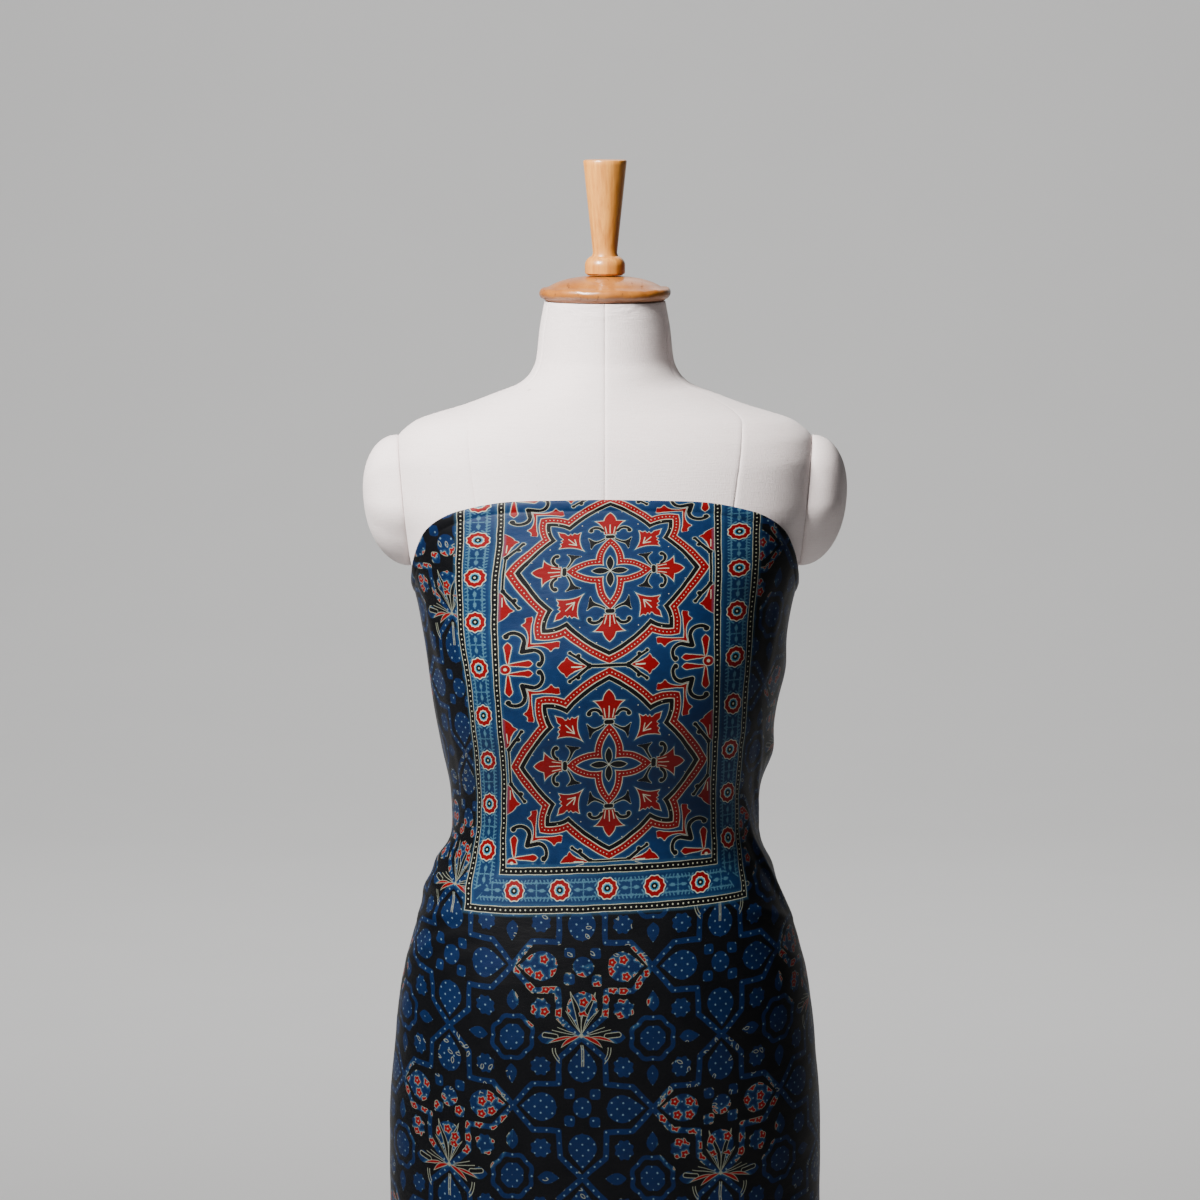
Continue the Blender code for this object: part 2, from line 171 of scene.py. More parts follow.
def blend(factor, first, second, kind="MIX"):
    """Mixes two colours by a factor."""
    inputs = {"Factor": factor, 6: first, 7: second}
    return factor.node("ShaderNodeMix", inputs, 2, data_type="RGBA", blend_type=kind)


def cloudy(place, scale, detail=2.0, roughness=0.5):
    """Soft noise from 0 to 1 at a place."""
    inputs = {"Vector": place, "Scale": scale, "Detail": detail, "Roughness": roughness}
    return place.node("ShaderNodeTexNoise", inputs, 0)


def stretched(place, x, y, z):
    """A place with its three directions scaled."""
    return place.vector("MULTIPLY", (x, y, z))


def new_object(name, bm, material, smooth_to=40):
    """A finished piece from a bmesh, smooth between its sharp edges."""
    mesh = bpy.data.meshes.new(name)
    bm.to_mesh(mesh)
    bm.free()
    if smooth_to:
        mesh.shade_smooth()
        mesh.set_sharp_from_angle(angle=math.radians(smooth_to))
    mesh.materials.append(material)
    piece = bpy.data.objects.new(name, mesh)
    bpy.context.scene.collection.objects.link(piece)
    return piece


FLOOR_DEPTH, WALL_HEIGHT, BEND_STEP = 16.0, 12.0, 0.524
floor_bm = bmesh.new()
edge_verts = [floor_bm.verts.new((-14, -9, 0)), floor_bm.verts.new((14, -9, 0))]
sweep = [floor_bm.edges.new(edge_verts)]
steps = [(0, FLOOR_DEPTH, 0)]
steps += [(0, BEND_STEP * math.cos(a), BEND_STEP * math.sin(a)) for a in np.radians(np.arange(3.75, 90, 7.5))]
steps += [(0, 0, WALL_HEIGHT)]
for step in steps:
    grown = bmesh.ops.extrude_edge_only(floor_bm, edges=sweep)["geom"]
    sweep = [e for e in grown if isinstance(e, bmesh.types.BMEdge)]
    bmesh.ops.translate(floor_bm, verts=[v for v in grown if isinstance(v, bmesh.types.BMVert)], vec=step)
floor_material, floor_shader, floor_place = start_finish("studio_floor", Roughness=0.75)
floor_tone = cloudy(floor_place, 3.0, 3.0)
dress(floor_shader, Base_Color=blend(floor_tone, (0.76, 0.76, 0.765), (0.79, 0.79, 0.795)))
bmesh.ops.recalc_face_normals(floor_bm, faces=floor_bm.faces)
new_object("studio_floor", floor_bm, floor_material)

# Stand: a turned base with a cove up to its boss, a round pole and a flange under the form.
# Beech, turned on a lathe, stained and varnished; the pole is glued into the boss and the
# flange is screwed to the pole's top and to the form.
JOINT_GAP = 0.0003
FORM_BOTTOM_Z = 0.720
RIM_DENTS = ((3, 1, 1.0), (8, 0, 0.6), (19, 2, 0.45), (37, 0, 0.3))


def arc(centre_radius, centre_z, radius, start, end, steps):
    """Points (radius, z) along an arc of a turned profile; angles in degrees from outward."""
    return [
        (centre_radius + radius * math.cos(a), centre_z + radius * math.sin(a))
        for a in np.radians(np.linspace(start, end, steps))
    ]


def turn_on_lathe(name, profile, material, node, steps=96, worn_from=9.0):
    """A piece spun round the Z axis from its profile, (radius, z); past worn_from its rim is uneven."""
    bm = bmesh.new()
    verts = [bm.verts.new((radius, 0, z)) for radius, z in profile]
    edges = [bm.edges.new(pair) for pair in zip(verts, verts[1:])]
    bmesh.ops.spin(
        bm, geom=verts + edges, cent=(0, 0, 0), axis=(0, 0, 1), angle=2 * math.pi, steps=steps, use_merge=True
    )
    bmesh.ops.remove_doubles(bm, verts=bm.verts, dist=0.00002)
    for vert in bm.verts:
        past = max(0.0, math.hypot(vert.co.x, vert.co.y) - worn_from) / 0.004
        turn = math.atan2(vert.co.y, vert.co.x)
        dent = sum(deep * math.sin(turn * waves + at) for waves, at, deep in RIM_DENTS)
        vert.co.z += 0.00042 * min(past, 1.0) * (dent + 1.6)
    bmesh.ops.recalc_face_normals(bm, faces=bm.faces)
    piece = new_object(name, bm, material)
    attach(piece, "root")
    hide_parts(node)
    return piece


def wood_finish(name, light, dark, gloss, coat, scratches, line_scale=(60, 60, 4), frayed_below=-1.0):
    """Varnished wood: long grain, growth lines, fine pores, scratches and a chipped lower edge."""
    material, shader, place = start_finish(name, IOR=1.5, Coat_Roughness=0.12)
    warp = cloudy(place, 9.0, 3.0)
    warped = warp.node("ShaderNodeCombineXYZ", {0: warp, 1: warp})
    grain = cloudy(stretched(place, *line_scale).vector("ADD", warped), 2.2, 6.0, 0.65)
    pores = cloudy(stretched(place, 900, 900, 40), 1.0, 2.0)
    patches = cloudy(place, 14.0, 3.0)
    figure = grain * 0.75 + patches * 0.25
    tone = figure.node("ShaderNodeValToRGB", {0: figure}, stops=[(0.30, dark), (0.68, light)])
    pore_mask = pores.line(9.0, -5.6, clamp=True)
    tone = blend(pore_mask * 0.5, tone, dark)
    marks = cloudy(stretched(place, 210, 26, 120), 1.0, 3.0, 0.7)
    mark_mask = marks.line(14.0, -14.0 * scratches, clamp=True)
    tone = blend(mark_mask * 0.75, tone, tuple(c * 0.35 for c in dark))
    rise = place.node("ShaderNodeSeparateXYZ", {0: place}, 2)
    chips = cloudy(place, 190.0, 4.0, 0.7)
    frayed = (rise * -330.0 + chips * 3.0).math("ADD", frayed_below * 330.0 - 1.6, clamp=True)
    tone = blend(frayed * 0.85, tone, (0.34, 0.17, 0.10))
    roughness = patches.line(0.16, gloss) + mark_mask * 0.25 + frayed * 0.4
    varnish = mark_mask.math("MAXIMUM", frayed).line(-coat * 0.8, coat)
    height = grain * 0.4 - pore_mask * 0.3 - mark_mask - frayed * chips * 4.0
    normal = bumped(height, 0.35, 0.0004)
    dress(shader, Base_Color=tone, Roughness=roughness, Coat_Weight=varnish, Normal=normal)
    return material


stand_wood = wood_finish(
    "stand_wood", light=(0.42, 0.21, 0.085), dark=(0.22, 0.095, 0.035), gloss=0.33, coat=0.5, scratches=0.69
)

BASE_RADIUS, BASE_HEIGHT, BOSS_RADIUS, BOSS_HEIGHT = 0.2000, 0.0300, 0.0420, 0.0340
boss_top = BASE_HEIGHT + BOSS_HEIGHT
base_profile = [(0.0, boss_top), (BOSS_RADIUS - 0.012, boss_top)]
base_profile += arc(BOSS_RADIUS - 0.012, boss_top - 0.012, 0.012, 85, 0, 10)
base_profile += [
    (BOSS_RADIUS + 0.028 * (1 - math.cos(turn)), BASE_HEIGHT + 0.014 * (1 - math.sin(turn)))
    for turn in np.radians(np.linspace(0, 90, 12))
]
base_profile += [(0.120, BASE_HEIGHT - 0.0004), (0.1245, BASE_HEIGHT - 0.0012), (0.129, BASE_HEIGHT - 0.0010)]
base_profile += arc(BASE_RADIUS - 0.011, BASE_HEIGHT - 0.013, 0.011, 88, 0, 14)
base_profile += [(BASE_RADIUS, 0.004), (BASE_RADIUS - 0.0012, 0.0012), (BASE_RADIUS - 0.004, 0.0), (0.0, 0.0)]
turn_on_lathe("turned_base", base_profile, stand_wood, "stand_base", 144)

POLE_RADIUS, FLANGE_RADIUS, FLANGE_HEIGHT = 0.0160, 0.0480, 0.0140
flange_top = FORM_BOTTOM_Z - JOINT_GAP
flange_bottom = flange_top - FLANGE_HEIGHT
pole_top = flange_bottom - JOINT_GAP
pole_bottom = boss_top + JOINT_GAP
pole_profile = [(0.0, pole_top), (POLE_RADIUS - 0.0008, pole_top), (POLE_RADIUS, pole_top - 0.0008)]
pole_profile += [(POLE_RADIUS, pole_bottom + 0.0008), (POLE_RADIUS - 0.0008, pole_bottom), (0.0, pole_bottom)]
turn_on_lathe("turned_pole", pole_profile, stand_wood, "stand_pole", 64)
flange_profile = [(0.0, flange_top), (FLANGE_RADIUS - 0.0008, flange_top)]
flange_profile += [(FLANGE_RADIUS, flange_top - 0.0008)]
flange_profile += arc(FLANGE_RADIUS - 0.004, flange_bottom + 0.004, 0.004, 0, -90, 8) + [(0.0, flange_bottom)]
turn_on_lathe("turned_flange", flange_profile, stand_wood, "stand_flange", 96)

# Torso: a padded shell covered in cut panels of off-white linen, sewn together down the
# centre front, through the bust and down the sides, with the seams pulled slightly in. The
# cover is drawn over the shell from below and closed at the neck under the wooden cap.
NECK_TOP_Z = 1.4951
ARM_PLANE_BOTTOM = (0.1620, 1.2713)
ARM_PLANE_TOP = (0.1730, 1.3873)
# Height, half width, depth in front, depth behind, all in millimetres, and squareness
FORM_SECTIONS = (
    (NECK_TOP_Z * 1000, 50.6, 52, 49, 2), (1472.3, 54.6, 56, 52, 2),
    (1447, 57.5, 61, 55, 2), (1436, 62, 66, 58, 2),
    (1426.7, 71.4, 70, 62, 2), (1418, 93, 74, 67, 2),
    (1409.2, 116, 78, 73, 2.1), (1394.6, 159.6, 86, 82, 2.2),
    (1380, 174.5, 93, 89, 2.3), (1360, 179.5, 99, 94, 2.4),
    (1330, 179, 106, 98, 2.4), (1300, 170, 114, 100, 2.4),
    (1271.3, 161.5, 121, 100, 2.35), (1244.3, 153, 127, 99, 2.3),
    (1197.8, 145, 134, 98, 2.3), (1149.7, 138.3, 128, 94, 2.3),
    (1123.5, 133.3, 120, 91, 2.25), (1083.8, 125.7, 108, 86, 2.2),
    (1055, 124.4, 102, 83, 2.2), (1035, 127.5, 102, 85, 2.2),
    (1010, 139, 106, 92, 2.2), (986.7, 149.5, 110, 100, 2.2),
    (957.1, 159, 115, 111, 2.2), (926.7, 166.5, 119, 121, 2.2),
    (893.7, 171.2, 121, 129, 2.2), (861.7, 174, 121, 132, 2.2),
    (813.5, 177.5, 119, 128, 2.2), (760, 178, 115, 118, 2.2),
    (FORM_BOTTOM_Z * 1000, 176, 112, 112, 2.2),
)


def smooth_curve(knots, values, at):
    """A curve through the knots with no overshoot, read at the points asked for."""
    knots, values = np.asarray(knots, float), np.asarray(values, float)
    spans = np.diff(knots)
    slopes = np.diff(values) / spans
    tangents = np.zeros(len(knots))
    for i in range(1, len(knots) - 1):
        if slopes[i - 1] * slopes[i] > 0:
            tangents[i] = 2 * slopes[i - 1] * slopes[i] / (slopes[i - 1] + slopes[i])
    tangents[0], tangents[-1] = slopes[0], slopes[-1]
    at = np.clip(np.asarray(at, float), knots[0], knots[-1])
    i = np.clip(np.searchsorted(knots, at) - 1, 0, len(spans) - 1)
    t = (at - knots[i]) / spans[i]
    low, high = values[i], values[i + 1]
    return (
        (1 + 2 * t) * (1 - t) ** 2 * low
        + t * (1 - t) ** 2 * spans[i] * tangents[i]
        + t * t * (3 - 2 * t) * high
        + t * t * (t - 1) * spans[i] * tangents[i + 1]
    )


def section_at(table, z):
    """Half width, depths in front and behind, and squareness of the level section at height z."""
    rows = np.array(table)[::-1] / (1000, 1000, 1000, 1000, 1)
    return [smooth_curve(rows[:, 0], rows[:, k], z) for k in range(1, 5)]


def lengths_along(x, y):
    """The length of a path of points up to each of them."""
    return np.concatenate([[0], np.cumsum(np.hypot(np.diff(x), np.diff(y)))])


def outline(table, z, angle):
    """The points (x, y) of the level section at height z, at angles from the centre front."""
    half_width, front, back, squareness = section_at(table, z)
    side, ahead = np.sin(angle), np.cos(angle)
    power = 2 / squareness
    depth = np.where(ahead > 0, front, back)
    x = half_width * np.sign(side) * np.abs(side) ** power
    y = -depth * np.sign(ahead) * np.abs(ahead) ** power
    return x, y


def arm_plane_x(z):
    """How far from the centre the armhole's plane lies at height z."""
    (low_x, low_z), (high_x, high_z) = ARM_PLANE_BOTTOM, ARM_PLANE_TOP
    return low_x + (high_x - low_x) * (z - low_z) / (high_z - low_z)


# Half widths at which the princess seams cross each height, in front and behind
PRINCESS_FRONT = ((0.72, 0.085), (1.05, 0.062), (1.20, 0.085), (1.33, 0.106), (1.398, 0.1135), (1.42, 0.085))
PRINCESS_BACK = ((0.72, 0.080), (1.05, 0.052), (1.30, 0.085), (1.398, 0.1050), (1.42, 0.080))
SEAM_PULL = 0.0008
# Each panel has the same stations across it, and only those at its seams are pulled in
PANEL_STATIONS = 15
PULLS = [1, 0.45] + [0] * (PANEL_STATIONS + 2) + [0.45]
heights = np.concatenate([np.linspace(0.72, 1.23, 60)[:-1], np.linspace(1.23, NECK_TOP_Z, 110)])
fine = np.linspace(-math.pi, math.pi, 2881)
ring_rows = []
for z in heights:
    x, y = outline(FORM_SECTIONS, np.full_like(fine, z), fine)
    run = lengths_along(x, y)
    seams = []
    for knots, ahead in ((PRINCESS_FRONT, True), (PRINCESS_BACK, False)):
        reach = min(smooth_curve(*zip(*knots), z), 0.93 * np.abs(x).max())
        for side in (-1, 1):
            there = (np.sign(x) == side) & ((y < 0) == ahead)
            seams.append(run[there][np.argmin(np.abs(np.abs(x[there]) - reach))])
    half = run[-1] / 2
    stations = sorted(seams + [0.0, half, run[-1] * 0.25, run[-1] * 0.75, run[-1]])
    spots = []
    for start, end in zip(stations, stations[1:]):
        spots += [start, start + 0.0007, start + 0.0020]
        spots += list(np.linspace(start + 0.0048, end - 0.0048, PANEL_STATIONS))
        spots += [end - 0.0020, end - 0.0007]
    ring_rows.append([Vector((np.interp(s, run, x), np.interp(s, run, y), z)) for s in spots])

torso_bm = bmesh.new()
loops = []
for ring in ring_rows:
    verts = []
    for i, point in enumerate(ring):
        along = (ring[(i + 1) % len(ring)] - ring[i - 1]).normalized()
        inward = Vector((-along.y, along.x, 0))
        verts.append(torso_bm.verts.new(point + inward * SEAM_PULL * PULLS[i % len(PULLS)]))
    loops.append([torso_bm.edges.new((verts[i - 1], verts[i])) for i in range(len(verts))])
for lower, upper in zip(loops, loops[1:]):
    bmesh.ops.bridge_loops(torso_bm, edges=lower + upper)
bmesh.ops.holes_fill(torso_bm, edges=loops[0] + loops[-1], sides=0)
arm_tilt = (ARM_PLANE_TOP[0] - ARM_PLANE_BOTTOM[0]) / (ARM_PLANE_TOP[1] - ARM_PLANE_BOTTOM[1])
for side in (-1, 1):
    cut = bmesh.ops.bisect_plane(
        torso_bm,
        geom=torso_bm.verts[:] + torso_bm.edges[:] + torso_bm.faces[:],
        plane_co=(side * ARM_PLANE_BOTTOM[0], 0, ARM_PLANE_BOTTOM[1]),
        plane_no=Vector((side, 0, -arm_tilt)).normalized(),
        clear_outer=True,
    )
    rim = [e for e in cut["geom_cut"] if isinstance(e, bmesh.types.BMEdge)]
    bmesh.ops.holes_fill(torso_bm, edges=rim, sides=0)
bmesh.ops.remove_doubles(torso_bm, verts=torso_bm.verts, dist=0.00008)
bmesh.ops.recalc_face_normals(torso_bm, faces=torso_bm.faces)


def linen_finish():
    """Off-white linen: a plain weave with slubs, a pinkish warmth, soil and a few marks."""
    material, shader, place = start_finish("form_linen_cover", Sheen_Weight=0.15, Sheen_Roughness=0.5)
    slub = cloudy(stretched(place, 1600, 1600, 55), 1.0, 3.0, 0.6)
    weft = cloudy(stretched(place, 70, 70, 1900), 1.0, 2.0, 0.5)
    soil = cloudy(place, 7.0, 4.0, 0.6)
    tone = blend(soil, (0.72, 0.61, 0.595), (0.86, 0.775, 0.76))
    tone = blend(slub.line(1.5, -0.5, clamp=True), tone, (0.90, 0.84, 0.825))
    tone = blend(weft.line(0.7, -0.28, clamp=True), tone, (0.62, 0.55, 0.53))
    spots = cloudy(place, 150.0, 1.0, 0.5).line(26.0, -20.4, clamp=True)
    tone = blend(spots * 0.55, tone, (0.30, 0.22, 0.20))
    rise = place.node("ShaderNodeSeparateXYZ", {0: place}, 2)
    at_neck = rise.line(45.0, -45.0 * (NECK_TOP_Z - 0.024), clamp=True)
    puckers = cloudy(stretched(place, 60, 60, 170), 1.0, 2.0, 0.6) * at_neck
    height = slub + weft * 0.7 + soil * 0.6 + puckers * 5.0
    dress(shader, Base_Color=tone, Roughness=slub.line(-0.12, 0.93), Normal=bumped(height, 0.55, 0.0005))
    return material


linen = linen_finish()
torso = new_object("linen_torso", torso_bm, linen, 50)
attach(torso, "root")
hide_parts("form_torso")

# Arm caps: rounded pads that close the armholes, covered in the same linen and sewn in
# round the edge, so a narrow dark line shows where each meets the torso.
ARM_CAP_REACH = 0.0345


def armhole_outline(steps):
    """Points (y, z) of the armhole: where the torso's surface meets the armhole's plane."""
    rise = np.linspace(ARM_PLANE_BOTTOM[1], ARM_PLANE_TOP[1] + 0.004, 400)
    half_width, front, back, squareness = section_at(FORM_SECTIONS, rise)
    share = arm_plane_x(rise) / half_width
    inside = share < 1
    rise, share = rise[inside], share[inside]
    reach = (1 - share ** squareness[inside]) ** (1 / squareness[inside])
    ys = np.concatenate([-front[inside] * reach, (back[inside] * reach)[::-1]])
    zs = np.concatenate([rise, rise[::-1]])
    ys, zs = np.append(ys, ys[0]), np.append(zs, zs[0])
    run = lengths_along(ys, zs)
    at = np.arange(steps) * run[-1] / steps
    return np.interp(at, run, ys), np.interp(at, run, zs)


ys, zs = armhole_outline(96)
mid_y, mid_z = (ys.min() + ys.max()) / 2, (zs.min() + zs.max()) / 2
for side, cap_name, cap_node in (
    (-1, "linen_cap_left", "arm_cap_left"),
    (1, "linen_cap_right", "arm_cap_right"),
):
    cap_bm = bmesh.new()
    loops = []
    for turn in np.radians([0, 0, 5, 10, 16, 22, 28, 34, 41, 48, 55, 61, 67, 73, 79, 84]):
        first = not loops
        shrink = math.cos(turn) ** 0.9 * (0.985 if first else 1.0)
        reach = JOINT_GAP + (0 if first else 0.0012) + (ARM_CAP_REACH - 0.0012) * math.sin(turn)
        ring = []
        for y, z in zip(mid_y + (ys - mid_y) * shrink, mid_z + (zs - mid_z) * shrink):
            ring.append(cap_bm.verts.new((side * (arm_plane_x(z) + reach), y, z)))
        loops.append([cap_bm.edges.new((ring[i - 1], ring[i])) for i in range(len(ring))])
    for outer, inner in zip(loops, loops[1:]):
        bmesh.ops.bridge_loops(cap_bm, edges=outer + inner)
    ends = [e for e in cap_bm.edges if e.is_boundary]
    bmesh.ops.holes_fill(cap_bm, edges=ends, sides=0)
    bmesh.ops.recalc_face_normals(cap_bm, faces=cap_bm.faces)
    arm_cap = new_object(cap_name, cap_bm, linen, 60)
    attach(arm_cap, "root")
    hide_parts(cap_node)

# Neck cap: a shallow domed disc with a rounded rim that closes the neck. Turned hardwood,
# stained orange brown and varnished, scratched with use, screwed down from inside.
CAP_RADIUS, CAP_HEIGHT, CAP_RIM_RADIUS = 0.0550, 0.0212, 0.0046
cap_bottom = NECK_TOP_Z + JOINT_GAP
cap_top = cap_bottom + CAP_HEIGHT
cap_dome = [(0.0, 0.0), (0.006, 0.0001), (0.012, 0.0003), (0.019, 0.0009), (0.025, 0.0017), (0.031, 0.0028)]
cap_dome += [(0.036, 0.0042), (0.0405, 0.0058), (0.0445, 0.0077), (0.0478, 0.0097)]
cap_profile = [(radius, cap_top - drop) for radius, drop in cap_dome]
rim_z = cap_bottom + CAP_RIM_RADIUS + 0.0016
cap_profile += arc(CAP_RADIUS - CAP_RIM_RADIUS, rim_z, CAP_RIM_RADIUS, 60, -75, 18)
cap_profile += [(CAP_RADIUS - 0.0060, cap_bottom), (0.0, cap_bottom)]
cap_wood = wood_finish(
    "cap_wood", light=(0.43, 0.160, 0.026), dark=(0.22, 0.062, 0.008), gloss=0.26, coat=0.35, scratches=0.615,
    line_scale=(34, 9, 34), frayed_below=cap_bottom + 0.0052,
)
turn_on_lathe("turned_neck_cap", cap_profile, cap_wood, "neck_cap", 160, CAP_RADIUS - 0.0075)

# Handle: a turned grip with a round foot, screwed down on the cap. The same wood left paler,
# with its grain running up the grip, under a clear gloss varnish.
HANDLE_HEIGHT, HANDLE_TOP_RADIUS, HANDLE_WAIST_RADIUS = 0.0961, 0.0182, 0.0099
handle_bottom = cap_top + JOINT_GAP
handle_top = handle_bottom + HANDLE_HEIGHT
foot_top = handle_bottom + 0.0165
handle_profile = [(0.0, handle_top), (HANDLE_TOP_RADIUS - 0.0016, handle_top)]
handle_profile += [(HANDLE_TOP_RADIUS - 0.0005, handle_top - 0.0004)]
handle_profile += [(HANDLE_TOP_RADIUS, handle_top - 0.0014)]
flare = HANDLE_TOP_RADIUS - HANDLE_WAIST_RADIUS
grip_height = handle_top - 0.0014 - foot_top
for share in np.linspace(0.96, 0.03, 16):
    handle_profile.append((HANDLE_WAIST_RADIUS + flare * share, foot_top + grip_height * share))
handle_profile += arc(0.0085, handle_bottom + 0.0080, 0.0084, 72, -6, 12)
foot_edge = ((0.0168, 0.003), (0.0166, 0.0016), (0.016, 0.0011), (0.015, 0.0009), (0.0148, 0), (0, 0))
handle_profile += [(radius, handle_bottom + up) for radius, up in foot_edge]
handle_wood = wood_finish(
    "handle_wood", light=(0.74, 0.325, 0.060), dark=(0.37, 0.115, 0.014), gloss=0.28, coat=0.35,
    scratches=0.72, line_scale=(150, 150, 5),
)
turn_on_lathe("turned_handle", handle_profile, handle_wood, "neck_handle", 96)

# Cloth: one printed length of silk, its upper edge turned in and stitched, wrapped from the
# front with its right end over its left behind, and drawn in by small gathers at the waist.
# Satin-faced silk, block printed by hand with resist and dyed blue, black and red.
WAIST_Z, HEM_Z, CLOTH_TOP_FRONT_Z = 1.055, 0.320, 1.338
CLOTH_THICKNESS, CLOTH_CLEARANCE = 0.0007, 0.0042
LAYER_STEP, LAYER_RAMP, LAYER_MARGIN = 0.0060, 0.042, 0.016
HANG_SECTIONS = (
    (861.7, 174, 121, 132, 2.2), (800, 178, 121.5, 131, 2.15),
    (550, 177, 124, 130, 2.1), (280, 175, 127, 130, 2.05),
)
# Degrees from the centre front, and how many millimetres the upper edge has dipped there
TOP_EDGE_DIP = (
    (0, 0), (20, 2), (38, 11), (46, 18.5), (55, 30), (63.5, 46),
    (72, 62), (82, 75), (95, 81), (120, 80), (150, 75), (180, 72),
)
# Angle, height, depth, half height, half width in degrees and slant of each fold
FLANK_FOLDS = (
    (-88, 1.0270, 0.0070, 0.011, 17, 0.00050),
    (-94, 1.0020, 0.0055, 0.012, 22, 0.00060),
    (90, 1.1870, 0.0040, 0.021, 14, -0.00040),
    (88, 1.1180, 0.0050, 0.017, 13, -0.00030),
    (92, 1.0240, 0.0040, 0.012, 20, -0.00050),
)
GATHER_HEIGHT, GATHER_ANGLE_FROM, GATHER_COUNT = 0.0095, 112.0, 5
GATHER_REACH_UP, GATHER_REACH_DOWN = 0.125, 0.130
FLUTES = ((6, 0.0050, 0.4), (9, 0.0035, 2.1))
FLUTES_START_Z = 0.800
WALK_TO, WALK_STEPS = 1.45 * math.pi, 2900


def fade(value, start, end):
    """0 before start and 1 after end, with a smooth passage between them."""
    t = np.clip((value - start) / (end - start), 0, 1)
    return t * t * (3 - 2 * t)


def cloth_heights(angle, share):
    """Height of the cloth's rows: share is 0 along the dipped top edge and 1 at the hem."""
    degrees, dips = np.array(TOP_EDGE_DIP).T
    turned = np.abs((np.degrees(angle) + 180) % 360 - 180)
    top = CLOTH_TOP_FRONT_Z - smooth_curve(degrees, dips / 1000, turned)
    return top + (HEM_Z - top) * share


def fold_depth(angle, z):
    """How far the folds stand out from the smooth wrap, at an angle round the form."""
    degrees = (np.degrees(angle) + 180) % 360 - 180
    out = np.zeros_like(z)
    for at, height, depth, tall, wide, slant in FLANK_FOLDS:
        crest = height + slant * (degrees - at)
        out = out + depth * np.exp(-(((degrees - at) / wide) ** 2) - ((z - crest) / tall) ** 2)
    drawn = fade(z, WAIST_Z + GATHER_REACH_UP, WAIST_Z + 0.01)
    drawn = drawn * fade(z, WAIST_Z - GATHER_REACH_DOWN, WAIST_Z - 0.01)
    behind = (np.abs(degrees) - GATHER_ANGLE_FROM) / (180 - GATHER_ANGLE_FROM)
    wave = 0.5 - 0.5 * np.cos(math.pi * GATHER_COUNT * np.clip(behind, 0, 1))
    out = out + GATHER_HEIGHT * drawn * wave * fade(behind, 0, 0.12)
    for count, depth, phase in FLUTES:
        out = out + depth * np.sin(count * angle + phase) * fade(z, FLUTES_START_Z, HEM_Z)
    return out


def cloth_point(angle, share, lifted):
    """Points on the middle of the cloth; lifted is 1 where it lies over its own other end."""
    z = cloth_heights(angle, share)
    on_form = fade(z, HANG_SECTIONS[1][0] / 1000, HANG_SECTIONS[0][0] / 1000)
    points = []
    for a in (angle - 0.001, angle, angle + 0.001):
        form_x, form_y = outline(FORM_SECTIONS, z, a)
        hang_x, hang_y = outline(HANG_SECTIONS, z, a)
        points.append((hang_x + (form_x - hang_x) * on_form, hang_y + (form_y - hang_y) * on_form))
    (back_x, back_y), (x, y), (next_x, next_y) = points
    run = np.hypot(next_x - back_x, next_y - back_y)
    out_x, out_y = (next_y - back_y) / run, -(next_x - back_x) / run
    off = CLOTH_CLEARANCE + fold_depth(angle, z) + LAYER_STEP * lifted
    return np.stack([x + out_x * off, y + out_y * off, z], axis=-1)


def run_of(points):
    """The level length of the walk to each point, from the centre front."""
    run = lengths_along(points[:, 0], points[:, 1])
    return run - run[WALK_STEPS]


def cloth_row(share, columns):
    """One row of the cloth, walked from the centre front to both sides by its own length."""
    walk = np.linspace(-WALK_TO, WALK_TO, 2 * WALK_STEPS + 1)
    run = run_of(cloth_point(walk, share, 0.0))
    meets = np.interp(columns[0], run, walk) + 2 * math.pi
    round_there = 0.5 * (run[-1] - run[0]) / walk[-1]
    lifted_from = meets - LAYER_MARGIN / round_there
    lifted = fade(walk, lifted_from - LAYER_RAMP / round_there, lifted_from)
    laid = cloth_point(walk, share, lifted)
    return np.stack([np.interp(columns, run_of(laid), laid[:, k]) for k in range(3)], axis=-1)


# Columns by distance from the centre front and rows from the upper edge down, closer at edges
columns = np.concatenate([[-0.530, -0.5285, -0.525], np.linspace(-0.521, 0.521, 245), [0.525, 0.5285, 0.530]])
edge_rows = [0.0, 0.0012, 0.0030, 0.0055, 0.0075, 0.0084, 0.0093, 0.0115, 0.0150]
hem_rows = [1.012, 1.016, 1.018]
depths = np.concatenate([edge_rows, np.linspace(0.0195, 0.640, 132), np.linspace(0.650, 1.008, 38), hem_rows])
shares = depths / depths[-1]
cloth_rows = np.array([cloth_row(share, columns) for share in shares])

# How far each point lies down the cloth from the level of the upper edge at the centre front
down = np.zeros(cloth_rows.shape[:2])
down[1:] = np.cumsum(np.linalg.norm(np.diff(cloth_rows, axis=0), axis=2), axis=0)
down += (CLOTH_TOP_FRONT_Z - cloth_rows[0, :, 2])[None, :]

# The turned-in upper edge is a double layer, so it stands out a little down to its stitches,
# and small drag lines run across where the cloth is pulled tight
normals = np.cross(np.gradient(cloth_rows, axis=1), np.gradient(cloth_rows, axis=0))
normals /= -np.linalg.norm(normals, axis=2, keepdims=True)
outward = np.sign((normals * (cloth_rows * (1, 1, 0))).sum(axis=2, keepdims=True))
normals *= np.median(outward)
STITCHES_DOWN = 0.0084
drop = depths[:, None]
proud = 0.00055 * (1 - fade(drop, STITCHES_DOWN, STITCHES_DOWN + 0.0021))
proud = proud - 0.0009 * np.exp(-(((drop - STITCHES_DOWN) / 0.0012) ** 2))
proud = proud - 0.0004 * (1 - fade(drop, 0.0, 0.0014))

